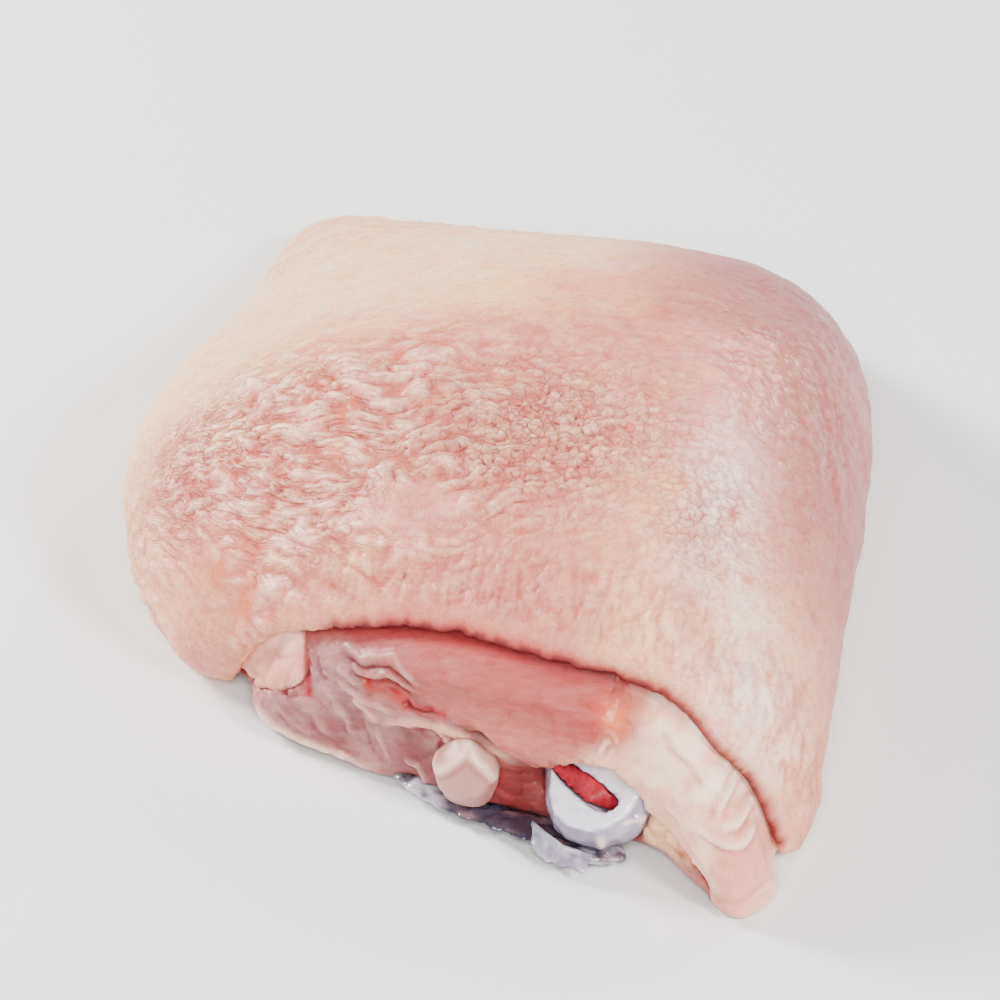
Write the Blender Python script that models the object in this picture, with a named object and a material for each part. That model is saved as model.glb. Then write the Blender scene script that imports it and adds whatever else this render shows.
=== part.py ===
"""A raw bone-in chicken thigh, skin side up, lying on a flat surface.

Frame: origin on the resting surface under the middle of the thigh, +Z up, +Y from the cut face
(where skin, meat, fat and bone show) to the rounded back, +X to the right of the cut face.
Lengths are in millimetres until a mesh is made, which turns them into metres. Places are given
from a point near the middle, and everything is moved over the origin once it is made.

The body is a pillow. Columns run out from its crest to an outline, down round the side and back
along the resting surface. The skin is the outer shell of the pillow, open at the cut face and
underneath. The core is the pillow sunk by the skin's thickness, and is divided into meat and fat.
"""

from collections import namedtuple
import math

import bmesh
import bpy
from mathutils import Matrix
import numpy as np

MM = 0.001

# Driving dimensions
CREST = np.array((8.0, 0.0))  # plan position of the highest point
CREST_HEIGHT = 38.0
SKIN_THICKNESS = 1.9
GAP = 0.4  # between pieces that touch in the real thigh
FACE_DEPTH = 0.9  # how far the bare meat lies inside the pillow
BARE_FROM, BARE_FULLY = 2.2, 6.0  # distances past the skin's edge where the meat rises to that

FACE_COLUMNS = 48  # across the cut face
REST_COLUMNS = 26  # round the sides and back
SKIN_RINGS = 14  # crest to the edge of the skin
CORE_RINGS = 9  # edge of the skin to the middle of the underside
TURN_WEIGHT = 7.0  # millimetres of path that one radian of bend counts for
UNDERSIDE_REACH = 24.0  # how far in the core's last ring lies, past the foot of the side

# The outline, anticlockwise from the right. widest is the height at which the side is widest. full
# is how full the top is (2 is an ellipse, more is squarer) and drop how steeply it comes down.
# skin_end is where the skin ends: millimetres under the thigh past the foot of the side, or, below
# zero, millimetres above the resting surface.
Station = namedtuple("Station", "x y widest full drop skin_end")
STATIONS = (
    Station(53.0, 4.0, 12.0, 3.2, 2.0, 14.0),  # right side
    Station(53.0, 27.0, 12.0, 2.9, 2.0, 15.0),
    Station(45.0, 45.5, 10.0, 2.4, 1.6, 15.0),  # back, right corner
    Station(27.0, 58.0, 8.5, 1.9, 1.3, 16.0),
    Station(-6.0, 60.5, 7.0, 1.6, 1.08, 16.0),  # back
    Station(-39.5, 67.0, 6.5, 1.6, 1.1, 14.0),  # back, left corner
    Station(-40.0, 46.5, 6.5, 1.65, 1.2, 14.0),
    Station(-50.5, 19.0, 8.0, 2.1, 1.5, 14.0),  # left side
    Station(-54.5, 3.0, 10.0, 2.7, 2.0, 14.0),
    Station(-50.5, -16.0, 8.0, 2.7, 2.0, 7.0),
    Station(-40.0, -34.5, 5.0, 2.9, 1.9, 5.0),
    Station(-33.2, -39.7, 4.0, 3.1, 1.9, -2.0),
    Station(-29.5, -42.2, 3.8, 3.2, 1.9, -14.5),  # left end of the cut face
    Station(-24.5, -45.3, 3.5, 3.5, 1.9, -18.0),
    Station(-6.0, -53.5, 3.0, 4.0, 2.0, -25.0),
    Station(15.0, -60.5, 3.5, 4.2, 2.0, -26.0),  # middle of the cut face
    Station(30.0, -63.5, 6.0, 3.6, 1.8, -24.5),
    Station(40.2, -72.5, 1.5, 3.1, 1.55, -21.5),  # tip of the flap
    Station(45.2, -67.2, 2.0, 3.0, 1.55, -14.0),
    Station(46.6, -63.2, 3.0, 3.0, 1.55, -2.0),
    Station(49.4, -58.5, 5.5, 2.9, 1.6, 5.0),
    Station(50.0, -47.0, 6.0, 3.0, 1.8, 8.0),
    Station(51.5, -22.0, 11.0, 3.2, 2.0, 14.0),
)
FACE_FIRST, FACE_TIP, FACE_LAST = 9, 17, 20  # stations at the cut face's ends and at its tip
FACE_PAST_TIP = 0.22  # share of the face's columns that lie past its tip

# Soft swells and dips of the top: plan position, radius, height
Swell = namedtuple("Swell", "x y radius height")
SWELLS = (
    Swell(29.0, -32.0, 17.0, 1.6),
    Swell(-22.0, 22.0, 20.0, -2.4),
    Swell(-27.0, -12.0, 14.0, 1.2),
)

# Relief of the bare face, seen from the front: along X, height, half sizes, how far it stands out
Relief = namedtuple("Relief", "x z half_x half_z out")
RELIEFS = (
    Relief(4.0, 19.0, 22.0, 7.5, 1.8),  # upper muscle
    Relief(-12.0, 9.0, 10.0, 6.0, -1.6),
    Relief(-22.0, 5.0, 8.0, 5.0, 0.8),
    Relief(10.0, 7.0, 4.5, 6.0, -4.0),  # hollow beside the bone
    Relief(30.0, 13.0, 9.0, 10.0, 1.2),  # fat pad
)

# The bone slopes down to the cut face, where its knob is cut off aslant, across the marrow
BONE_LINE = np.array(((3.0, 14.0, 16.0), (17.6, -50.0, 9.8), (23.2, -64.6, 6.6)))
KNOB_HALF = (7.8, 6.3)  # half width and half height of the knob
KNOB_SQUARENESS = 2.8  # 2 is an ellipse, more is boxier
SHAFT_HALF = (4.8, 4.6)
KNOB_LENGTH = 22.0
BONE_CUT_POINT = np.array((19.2, -61.3, 10.6))
BONE_CUT_FACING = np.array((-0.16, -0.55, 0.82))
MARROW_LINE = np.array(((5.0, 6.0, 15.2), (15.5, -46.0, 9.8), (18.2, -55.4, 8.4), (19.6, -60.2, 10.4)))
MARROW_HALF = (5.4, 1.25)  # where it shows
MARROW_DEEP_HALF = (2.2, 2.0)
MARROW_ROLL = 0.62
MARROW_SUNK = 0.5  # how far the marrow lies below the cut

# The fat pad's left border on the face: along X, height, from the top down
PAD_BORDER = ((25.5, 30.0), (21.5, 18.5), (24.0, 11.0), (29.5, 8.4), (33.5, 5.8), (36.0, 3.4), (37.5, -2.0))
PAD_BACK = -34.0  # how far back the pad reaches
END_FAT_CENTRE, END_FAT_HALF = np.array((-27.5, -35.5, 12.6)), np.array((10.5, 12.0, 6.5))
LUMP_CENTRE, LUMP_HALF = np.array((3.0, -56.0, 8.0)), np.array((3.9, 3.5, 4.8))

# Sinew along the foot of the face: plan position, height of its middle, half width, half thickness
SINEW = (
    (-8.0, -50.6, 1.6, 0.6, 0.5),
    (-4.5, -52.6, 1.6, 2.0, 1.0),
    (2.0, -55.4, 1.4, 2.8, 1.0),
    (10.0, -58.2, 1.4, 3.2, 1.1),
    (17.0, -60.8, 1.6, 3.8, 1.3),
    (21.5, -62.8, 1.9, 3.2, 1.3),
    (24.5, -63.8, 2.1, 0.8, 0.6),
)


def smooth_step(value):
    """0 below 0, 1 above 1, and an even slope change between."""
    value = np.clip(value, 0.0, 1.0)
    return value * value * (3.0 - 2.0 * value)


def curve_through(knots, values, at):
    """Smooth curve through values at rising knots, read at the given positions."""
    knots = np.asarray(knots, float)
    values = np.asarray(values, float)
    steps = np.diff(knots)[:, None]
    slopes = np.diff(values, axis=0) / steps
    inner = (slopes[:-1] * steps[1:] + slopes[1:] * steps[:-1]) / (steps[1:] + steps[:-1])
    tangents = np.vstack([slopes[:1], inner, slopes[-1:]])
    spans = np.clip(np.searchsorted(knots, at, side="right") - 1, 0, len(steps) - 1)
    step = steps[spans]
    part = ((at - knots[spans])[:, None]) / step
    start_pull = part * (1.0 - part) ** 2 * step * tangents[spans]
    end_pull = part ** 2 * (part - 1.0) * step * tangents[spans + 1]
    blend = smooth_step(part)
    return values[spans] * (1.0 - blend) + values[spans + 1] * blend + start_pull + end_pull


def outline_columns():
    """Station values at every column, spaced finely across the cut face and most past its tip."""
    rows = np.array(STATIONS)
    lengths = np.hypot(*(np.roll(rows, -1, axis=0) - rows)[:, :2].T)
    ring = np.concatenate([[0.0], np.cumsum(lengths)])
    total = ring[-1]
    wrapped = np.vstack([rows[-2:], rows, rows[:3]])
    knots = np.concatenate([ring[-3:-1] - total, ring[:-1], total + ring[:3]])
    first, tip, last = ring[[FACE_FIRST, FACE_TIP, FACE_LAST]]
    parts = np.linspace(0.0, 1.0, FACE_COLUMNS, endpoint=False)
    face = np.interp(parts, (0.0, 1.0 - FACE_PAST_TIP, 1.0), (first, tip, last))
    rest = np.linspace(last, first + total, REST_COLUMNS, endpoint=False) % total
    return curve_through(knots, wrapped, np.concatenate([face, rest]))


def column_path(column):
    """Dense path of one column as distances along the plan line from the crest, and heights."""
    x, y, widest, full, drop, _skin_end = column
    reach = math.hypot(x - CREST[0], y - CREST[1])
    angle = np.linspace(0.0, math.pi / 2, 500)
    out = reach * np.sin(angle) ** (2.0 / full)
    height = widest + (CREST_HEIGHT - widest) * np.cos(angle) ** (2.0 / drop)
    turn = np.linspace(0.0, math.pi / 2, 30)[1:]
    tuck = widest * 1.1
    under = np.linspace(0.0, UNDERSIDE_REACH + 1.0, 40)[1:]
    out = np.concatenate([out, reach - tuck * (1.0 - np.cos(turn)), reach - tuck - under])
    height = np.concatenate([height, widest * (1.0 - np.sin(turn)), np.zeros(len(under))])
    foot = len(angle) + len(turn) - 1
    return out, height, foot


def ring_positions(column):
    """Distances, heights and lengths past the skin's edge of one column's rings."""
    out, height, foot = column_path(column)
    run, rise = np.diff(out), np.diff(height)
    length = np.concatenate([[0.0], np.cumsum(np.hypot(run, rise))])
    bend = np.abs(np.diff(np.unwrap(np.arctan2(rise, run))))
    weight = length + TURN_WEIGHT * np.concatenate([[0.0, 0.0], np.cumsum(bend)])
    skin_end = column[5]
    if skin_end >= 0.0:
        edge = length[foot] + skin_end
    else:
        edge = np.interp(skin_end, -height[:foot], length[:foot])
    last = length[foot] + UNDERSIDE_REACH
    edge_weight, last_weight = np.interp([edge, last], length, weight)
    weights = np.concatenate([
        np.linspace(0.0, edge_weight, SKIN_RINGS + 1)[1:],
        np.linspace(edge_weight, last_weight, CORE_RINGS + 1)[1:],
    ])
    lengths = np.interp(weights, weight, length)
    return np.interp(lengths, length, out), np.interp(lengths, length, height), lengths - edge


def swell_height(x, y):
    """Height that the swells and dips add to the top at a plan position."""
    total = np.zeros_like(x)
    for swell in SWELLS:
        far = ((x - swell.x) ** 2 + (y - swell.y) ** 2) / swell.radius ** 2
        total += swell.height * np.exp(-far)
    return total


def pillow_grid():
    """Points of the pillow by column and ring, their outward normals, lengths past the edge."""
    columns = outline_columns()
    points = np.zeros((len(columns), SKIN_RINGS + CORE_RINGS, 3))
    past = np.zeros(points.shape[:2])
    for index, column in enumerate(columns):
        out, height, past[index] = ring_positions(column)
        heading = (column[:2] - CREST) / np.linalg.norm(column[:2] - CREST)
        points[index, :, :2] = CREST + out[:, None] * heading
        above = smooth_step((height - column[2]) / (0.5 * CREST_HEIGHT))
        points[index, :, 2] = height + above * swell_height(*points[index, :, :2].T)
    soften(points)
    return points, grid_normals(points), past


def soften(points):
    """Even out neighbouring columns, most near the crest."""
    ease = smooth_step(1.0 - np.arange(points.shape[1]) / (SKIN_RINGS - 2.0))[None, :, None]
    ease = np.maximum(ease, 0.12)
    for _round in range(12):
        beside = (np.roll(points, 1, axis=0) + np.roll(points, -1, axis=0)) / 2
        points += ease * (beside - points) * 0.5


def grid_normals(points):
    """Outward unit normals of a column-by-ring grid that starts at the crest."""
    crest = np.array([*CREST, crest_height()])
    before = np.concatenate([np.broadcast_to(crest, (len(points), 1, 3)), points[:, :-1]], axis=1)
    after = np.concatenate([points[:, 1:], points[:, -1:]], axis=1)
    along = after - before
    around = np.roll(points, -1, axis=0) - np.roll(points, 1, axis=0)
    normals = np.cross(along, around)
    return normals / np.linalg.norm(normals, axis=2, keepdims=True)


def crest_height():
    """Height of the crest with the swells."""
    return CREST_HEIGHT + float(swell_height(*(np.array([value]) for value in CREST))[0])


def new_object(name, points, faces, material=None):
    """Mesh object from millimetre points, with its faces turned outwards."""
    mesh = bpy.data.meshes.new(name)
    mesh.from_pydata([tuple(point) for point in np.asarray(points) * MM], [], faces)
    shell = bmesh.new()
    shell.from_mesh(mesh)
    bmesh.ops.recalc_face_normals(shell, faces=shell.faces)
    shell.to_mesh(mesh)
    shell.free()
    item = bpy.data.objects.new(name, mesh)
    bpy.context.scene.collection.objects.link(item)
    if material:
        mesh.materials.append(material)
        for polygon in mesh.polygons:
            polygon.use_smooth = True
        mesh.set_sharp_from_angle(angle=math.radians(38.0))
    else:
        item.hide_render = True
        item.display_type = "WIRE"
    return item


def band_faces(first, second, count, turned=None):
    """Triangles between two closed rings of points; turned quads are split the other way."""
    faces = []
    for index in range(count):
        following = (index + 1) % count
        near, near_next = first + index, first + following
        far, far_next = second + index, second + following
        if turned is not None and turned[index]:
            faces += [(near, near_next, far), (near_next, far_next, far)]
        else:
            faces += [(near, near_next, far_next), (near, far_next, far)]
    return faces


def fan_faces(ring, centre, count):
    """Triangles between a closed ring of points and one point."""
    return [(ring + index, ring + (index + 1) % count, centre) for index in range(count)]


def rings_solid(name, rings, start, end, material=None, turned=None):
    """Closed solid through rings of equal size, with a point at either end."""
    count = len(rings[0])
    points = [point for ring in rings for point in ring] + [start, end]
    faces = fan_faces(0, len(points) - 2, count)
    for index in range(len(rings) - 1):
        band_turned = turned[index] if turned else None
        faces += band_faces(index * count, (index + 1) * count, count, band_turned)
    faces += fan_faces((len(rings) - 1) * count, len(points) - 1, count)
    return new_object(name, points, faces, material)


def shorter_turned(points):
    """For each band of the pillow, which of its quads have their shorter diagonal turned."""
    following = np.roll(points, -1, axis=0)
    straight = np.linalg.norm(following[:, 1:] - points[:, :-1], axis=2)
    turned = np.linalg.norm(following[:, :-1] - points[:, 1:], axis=2)
    return list((turned < straight).T)


def make_skin(points, normals, material):
    """Shell of even thickness from the crest to the skin's edge, rounded at the edge."""
    outer = points[:, :SKIN_RINGS]
    inner = outer - normals[:, :SKIN_RINGS] * SKIN_THICKNESS
    run = outer[:, -1] - outer[:, -2]
    run /= np.linalg.norm(run, axis=1, keepdims=True)
    lip = (outer[:, -1] + inner[:, -1]) / 2 + run * SKIN_THICKNESS * 0.45
    lip[:, 2] = np.maximum(lip[:, 2], 0.25)
    rings = [outer[:, ring] for ring in range(SKIN_RINGS)]
    rings.append(lip)
    rings += [inner[:, ring] for ring in reversed(range(SKIN_RINGS))]
    top = np.array([*CREST, crest_height()])
    under = top - (0.0, 0.0, SKIN_THICKNESS)
    turned = shorter_turned(outer)
    turned_back = [~band for band in reversed(turned)]
    return rings_solid("skin", rings, top, under, material, turned + [None, None] + turned_back)


def face_relief(x, z):
    """How far the bare face stands out at a place seen from the front."""
    total = np.zeros_like(x)
    for relief in RELIEFS:
        far = ((x - relief.x) / relief.half_x) ** 2 + ((z - relief.z) / relief.half_z) ** 2
        total += relief.out * np.exp(-far)
    return total


def skin_distance(points, past):
    """Distance of each bare point from the nearest place on the skin's edge, 0 under the skin."""
    edge = points[:, SKIN_RINGS - 1]
    following = np.roll(edge, -1, axis=0)
    edge = np.concatenate([edge + (following - edge) * part for part in (0.0, 0.25, 0.5, 0.75)])
    apart = points[:, :, None, :] - edge[None, None]
    return np.sqrt((apart ** 2).sum(axis=3)).min(axis=2) * (past > 0.0)


def core_rings(points, normals, past):
    """Rings of the core: the pillow sunk under the skin, less where it is bare."""
    bare = smooth_step((skin_distance(points, past) - BARE_FROM) / (BARE_FULLY - BARE_FROM))
    height = points[:, :, 2]
    off_floor = np.clip(height / 3.0, 0.0, 1.0)
    bare_depth = (FACE_DEPTH - face_relief(points[:, :, 0], height)) * off_floor
    depth = (SKIN_THICKNESS + GAP) * (1.0 - bare) + bare_depth * bare
    sunk = points - normals * depth[:, :, None]
    return [sunk[:, ring] for ring in range(sunk.shape[1])]


def make_core(name, points, normals, past, material):
    """Closed core of the thigh, before it is divided into meat and fat."""
    top = np.array([*CREST, crest_height() - SKIN_THICKNESS - GAP])
    middle = np.array([*CREST, 0.0])
    return rings_solid(name, core_rings(points, normals, past), top, middle, material, shorter_turned(points))


def tube_rings(path, halves, count, roll=0.0, squareness=2.0):
    """Rounded rings along a path, width level and height square to it, turned by roll."""
    path = np.asarray(path, float)
    angle = np.linspace(0.0, 2.0 * math.pi, count, endpoint=False)
    level, upright = np.cos(angle), np.sin(angle)
    bulge = (np.abs(level) ** squareness + np.abs(upright) ** squareness) ** (-1.0 / squareness)
    level, upright = level * bulge, upright * bulge
    rings = []
    for index, (middle, (half_width, half_height)) in enumerate(zip(path, halves)):
        ahead = path[min(index + 1, len(path) - 1)] - path[max(index - 1, 0)]
        ahead /= np.linalg.norm(ahead)
        side = np.cross(ahead, (0.0, 0.0, 1.0))
        side /= np.linalg.norm(side)
        up = np.cross(side, ahead)
        wide = (side * math.cos(roll) + up * math.sin(roll)) * half_width
        tall = (up * math.cos(roll) - side * math.sin(roll)) * half_height
        rings.append(middle + level[:, None] * wide + upright[:, None] * tall)
    return rings


def line_through(line, places):
    """Points on a smooth line at parts of its length, and the length."""
    knots = np.concatenate([[0.0], np.cumsum(np.linalg.norm(np.diff(line, axis=0), axis=1))])
    return curve_through(knots, line, np.asarray(places) * knots[-1]), knots[-1]


def beyond(point, before, length):
    """Point past the end of a line."""
    ahead = point - before
    return point + ahead / np.linalg.norm(ahead) * length


def bone_solid(name, grow, material=None):
    """The whole bone, knob and shaft, with rounded ends, before its knob is cut."""
    rounding = 1.0 - np.cos(np.linspace(0.15, math.pi / 2, 5))
    places = np.concatenate([rounding * 0.06, [0.2, 0.45, 0.65, 0.75, 0.84], 1.0 - rounding[::-1] * 0.09])
    path, length = line_through(BONE_LINE, places)
    knob = smooth_step(1.0 - (1.0 - places) * length / KNOB_LENGTH)[:, None]
    halves = np.array(SHAFT_HALF) * (1.0 - knob) + np.array(KNOB_HALF) * knob
    near_end = np.clip(np.minimum((1.0 - places) / 0.09, places / 0.06), 0.0, 1.0)
    halves = halves * np.sqrt(1.0 - (1.0 - near_end) ** 2)[:, None] + grow
    rings = tube_rings(path, halves, 24, squareness=KNOB_SQUARENESS)
    end = beyond(path[-1], path[-2], 0.1 + grow)
    return rings_solid(name, rings, beyond(path[0], path[1], 0.1 + grow), end, material)


def marrow_solid(name, grow, further, material=None):
    """Marrow rod inside the bone, turning up through the cut and past it by a length."""
    places = np.linspace(0.0, 1.0, 12)
    path, _length = line_through(MARROW_LINE, places)
    shown = smooth_step(places * 3.2 - 2.0)[:, None]
    halves = np.array(MARROW_DEEP_HALF) * (1.0 - shown) + np.array(MARROW_HALF) * shown + grow
    path = np.vstack([path, beyond(path[-1], path[-2], further)])
    halves = np.vstack([halves, halves[-1:]])
    rings = tube_rings(path, halves, 18, roll=MARROW_ROLL)
    end = beyond(path[-1], path[-2], 0.2)
    return rings_solid(name, rings, beyond(path[0], path[1], 0.3 + grow), end, material)


def slab_above(name, point, facing, sunk=0.0):
    """Cutter that fills the space on one side of a plane."""
    facing = facing / np.linalg.norm(facing)
    side = np.cross(facing, (0.0, 1.0, 0.0))
    side /= np.linalg.norm(side)
    across = np.cross(facing, side)
    foot = point - facing * sunk
    corners = [foot + side * a * 20.0 + across * b * 20.0 for a, b in ((-1, -1), (1, -1), (1, 1), (-1, 1))]
    rings = [np.array(corners), np.array(corners) + facing * 30.0]
    points = np.concatenate(rings)
    faces = [(0, 1, 2, 3), (4, 5, 6, 7)] + band_faces(0, 4, 4)
    return new_object(name, points, faces)


def ball_solid(name, centre, half, grow, material=None):
    """Closed egg shape."""
    rings = []
    angle = np.linspace(0.0, 2.0 * math.pi, 20, endpoint=False)
    for tilt in np.linspace(-math.pi / 2, math.pi / 2, 13)[1:-1]:
        level = np.stack([
            np.cos(angle) * math.cos(tilt),
            np.sin(angle) * math.cos(tilt),
            np.full(20, math.sin(tilt)),
        ], axis=1)
        rings.append(centre + level * (half + grow))
    tall = np.array((0.0, 0.0, half[2] + grow))
    return rings_solid(name, rings, centre - tall, centre + tall, material)


def sinew_solid(name, grow, material=None):
    """Flat band of sinew along the foot of the face."""
    rows = np.array(SINEW)
    knots = np.concatenate([[0.0], np.cumsum(np.linalg.norm(np.diff(rows[:, :3], axis=0), axis=1))])
    rows = curve_through(knots, rows, np.linspace(0.0, knots[-1], 26))
    halves = rows[:, 3:] + grow
    rings = tube_rings(rows[:, :3], halves, 14, roll=0.25)
    for ring in rings:
        ring[:, 2] = np.maximum(ring[:, 2], -grow)
    return rings_solid(name, rings, rows[0, :3] - (0.3 + grow, 0, 0), rows[-1, :3] + (0.3 + grow, 0, 0), material)


def pad_region(name, grow):
    """Cutter around the fat pad: everything to the right of its border."""
    border = np.array(PAD_BORDER) - (grow, 0.0)
    outline = np.vstack([border, [(70.0, -2.0), (70.0, 60.0), (border[0, 0], 60.0)]])
    front, back = -80.0, PAD_BACK + grow
    rings = [np.insert(outline, 1, depth, axis=1) for depth in (front, back)]
    count = len(outline)
    faces = [tuple(range(count)), tuple(range(count, 2 * count))] + band_faces(0, count, count)
    return new_object(name, np.concatenate(rings), faces)


def centre_on_origin(shells):
    """Move everything so that the origin is under the middle of the given meshes."""
    corners = np.array([vertex.co for item in shells for vertex in item.data.vertices])
    middle = (corners.min(axis=0) + corners.max(axis=0)) / 2
    for item in bpy.data.objects:
        item.data.transform(Matrix.Translation((-middle[0], -middle[1], 0.0)))


def cut(target, cutter, operation="DIFFERENCE"):
    """Boolean of one object with a cutter."""
    modifier = target.modifiers.new(cutter.name, "BOOLEAN")
    modifier.operation = operation
    modifier.solver = "EXACT"
    modifier.object = cutter


def new_material(name, colour, roughness):
    """Plain surface of one colour."""
    material = bpy.data.materials.new(name)
    material.use_nodes = True
    shader = material.node_tree.nodes["Principled BSDF"]
    shader.inputs["Base Color"].default_value = (*colour, 1.0)
    shader.inputs["Roughness"].default_value = roughness
    shader.inputs["Metallic"].default_value = 0.0
    return material


def clear_scene():
    """Remove every object that the file starts with."""
    for item in list(bpy.data.objects):
        bpy.data.objects.remove(item, do_unlink=True)


def main():
    """Build the thigh."""
    clear_scene()
    points, normals, past = pillow_grid()
    fat = new_material("fat", (0.85, 0.66, 0.57), 0.3)
    skin = make_skin(points, normals, new_material("skin", (0.84, 0.59, 0.53), 0.36))
    meat = make_core("meat", points, normals, past, new_material("meat", (0.64, 0.27, 0.25), 0.3))
    pad = make_core("fat_pad", points, normals, past, fat)
    end_fat = make_core("end_fat", points, normals, past, fat)
    bone = bone_solid("bone", 0.0, new_material("bone", (0.78, 0.74, 0.78), 0.25))
    marrow = marrow_solid("marrow", 0.0, 1.0, new_material("marrow", (0.42, 0.06, 0.07), 0.3))
    lump = ball_solid("fat_lump", LUMP_CENTRE, LUMP_HALF, 0.0, fat)
    sinew = sinew_solid("sinew", 0.0, new_material("sinew", (0.55, 0.46, 0.54), 0.25))

    bone_room = bone_solid("bone_room", GAP)
    marrow_room = marrow_solid("marrow_room", GAP * 0.75, 3.0)
    lump_room = ball_solid("lump_room", LUMP_CENTRE, LUMP_HALF, GAP)
    sinew_room = sinew_solid("sinew_room", GAP)
    end_room = ball_solid("end_fat_room", END_FAT_CENTRE, END_FAT_HALF, GAP)
    end_space = ball_solid("end_fat_space", END_FAT_CENTRE, END_FAT_HALF, 0.0)
    bone_cut = slab_above("bone_cut", BONE_CUT_POINT, BONE_CUT_FACING)
    marrow_cut = slab_above("marrow_cut", BONE_CUT_POINT, BONE_CUT_FACING, MARROW_SUNK)
    pad_room = pad_region("pad_room", GAP)
    pad_space = pad_region("pad_space", 0.0)
    centre_on_origin((skin, meat))

    for cutter in (pad_room, end_room, lump_room, sinew_room, bone_room):
        cut(meat, cutter)
    cut(pad, pad_space, "INTERSECT")
    cut(end_fat, end_space, "INTERSECT")
    for item in (pad, sinew, lump):
        cut(item, bone_room)
    cut(pad, sinew_room)
    cut(lump, sinew_room)
    cut(bone, bone_cut)
    cut(bone, marrow_room)
    cut(marrow, marrow_cut)


main()
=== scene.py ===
"""Looks of a raw bone-in chicken thigh, built around its CAD frame.

Every piece but two thin films starts from the CAD node that it stands for: the node is remeshed
finely, given relief by noise and by named lines and spots, and painted point by point. Lengths are in
millimetres, in the frame's axes (+X right and +Z up as the cut face is seen, -Y towards the viewer),
and are turned into metres when they are written to a mesh.
"""

from contextlib import contextmanager

import bmesh
import bpy
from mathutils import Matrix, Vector
from mathutils.bvhtree import BVHTree
from mathutils.kdtree import KDTree
import numpy as np


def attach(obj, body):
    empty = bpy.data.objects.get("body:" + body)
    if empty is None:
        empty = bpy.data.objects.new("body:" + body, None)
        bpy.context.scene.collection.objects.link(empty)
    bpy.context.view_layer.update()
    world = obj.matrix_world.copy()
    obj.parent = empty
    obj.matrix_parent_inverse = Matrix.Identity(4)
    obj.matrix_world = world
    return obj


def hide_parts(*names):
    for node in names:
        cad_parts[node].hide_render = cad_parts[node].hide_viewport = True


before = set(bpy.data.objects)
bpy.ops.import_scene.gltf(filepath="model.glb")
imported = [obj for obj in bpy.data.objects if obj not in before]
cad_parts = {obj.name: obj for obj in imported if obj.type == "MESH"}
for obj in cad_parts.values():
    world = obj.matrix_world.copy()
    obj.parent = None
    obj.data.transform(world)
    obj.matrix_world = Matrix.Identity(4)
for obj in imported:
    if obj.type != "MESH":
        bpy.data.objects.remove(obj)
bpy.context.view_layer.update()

MM = 0.001

# Camera: the photograph's place and direction, closer in
EYE = (56.1, -471.9, 410.2)
AIM = (1.5, -4.0, 13.0)
LENS = 160.0
SENSOR_WIDTH = 36.0
LIGHTS = (  # name, place in metres, width in metres, power in watts
    ("left_light", (-0.6, 0.22, 0.4), 0.2, 14.0),
    ("back_light", (0.38, 0.62, 0.55), 0.2, 4.5),
    ("right_light", (0.62, -0.4, 0.62), 0.2, 12.0),
    ("front_light", (0.05, -0.8, 0.8), 0.5, 17.0),
)

# Linear colours of the tissues
CREAM = (0.93, 0.61, 0.33)
IVORY = (0.95, 0.78, 0.58)
PALE_PINK = (0.68, 0.23, 0.185)
ROSE = (0.42, 0.06, 0.055)
SALMON = (0.76, 0.23, 0.155)
LILAC = (0.56, 0.2, 0.2)
PLUM = (0.24, 0.035, 0.05)
BLISTER = (0.76, 0.17, 0.04)
YOLK = (0.84, 0.46, 0.17)
MUSCLE = (0.36, 0.085, 0.08)
MUSCLE_LILAC = (0.22, 0.070, 0.078)
BLOOD = (0.1, 0.003, 0.005)
CRIMSON = (0.4, 0.012, 0.030)
FRESH_BLOOD = (0.4, 0.020, 0.012)
FILM = (0.55, 0.3, 0.28)
FILM_LIGHT = (0.54, 0.29, 0.26)
FAT = (0.84, 0.44, 0.32)
FAT_WHITE = (0.94, 0.72, 0.55)
PEACH = (0.42, 0.2, 0.17)
PEARL = (0.95, 0.84, 0.76)
BONE_WHITE = (0.66, 0.62, 0.66)
BONE_SHADE = (0.19, 0.16, 0.24)
SLATE_AND_SHADE = (0.045, 0.036, 0.055)

# Fineness of the meshes
SKIN_VOXEL = 1.12
FLESH_VOXEL = 1.0
FAT_VOXEL = 0.5
BONE_VOXEL = 0.42
FINE_VOXEL = 0.35
WELD = 0.01  # points nearer than this are made one
ANY_ANGLE = 3.1  # joins triangles into quads whatever the angle between them
SMOOTH_PULL = 0.5  # how far a point is drawn to its neighbours' middle
SMOOTH_PUSH = -0.52  # and then pushed back, so that nothing shrinks


# ---------- noise

HASH_PRIMES = np.array((374761393, 668265263, 2246822519, 3266489917), dtype=np.uint32)


def scatter(cells, seed):
    """Three even random numbers from 0 to 1 for each whole-numbered cell."""
    x, y, z = cells.astype(np.int64).astype(np.uint32).T
    first, second, third, fourth = HASH_PRIMES
    key = x * first + y * second + z * third + np.uint32(seed * 7919 + 101)
    numbers = []
    for _axis in range(3):
        key = (key ^ (key >> np.uint32(15))) * third
        key = (key ^ (key >> np.uint32(13))) * fourth
        key = key ^ (key >> np.uint32(16))
        numbers.append(key.astype(np.float64) / 2.0 ** 32)
    return np.stack(numbers, axis=1)


def noise(points, size, seed=0):
    """Smooth noise of about -1 to 1 with bumps of the given size, or of one size for each axis."""
    place = points / np.asarray(size, float) + 31.7 + seed
    cell = np.floor(place)
    part = place - cell
    ease = part ** 3 * (part * (part * 6.0 - 15.0) + 10.0)
    total = np.zeros(len(points))
    for corner in np.ndindex(2, 2, 2):
        pull = scatter(cell + corner, seed) * 2.0 - 1.0
        weight = np.where(corner, ease, 1.0 - ease).prod(axis=1)
        total += weight * (pull * (part - corner)).sum(axis=1)
    return total * 1.7


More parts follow.
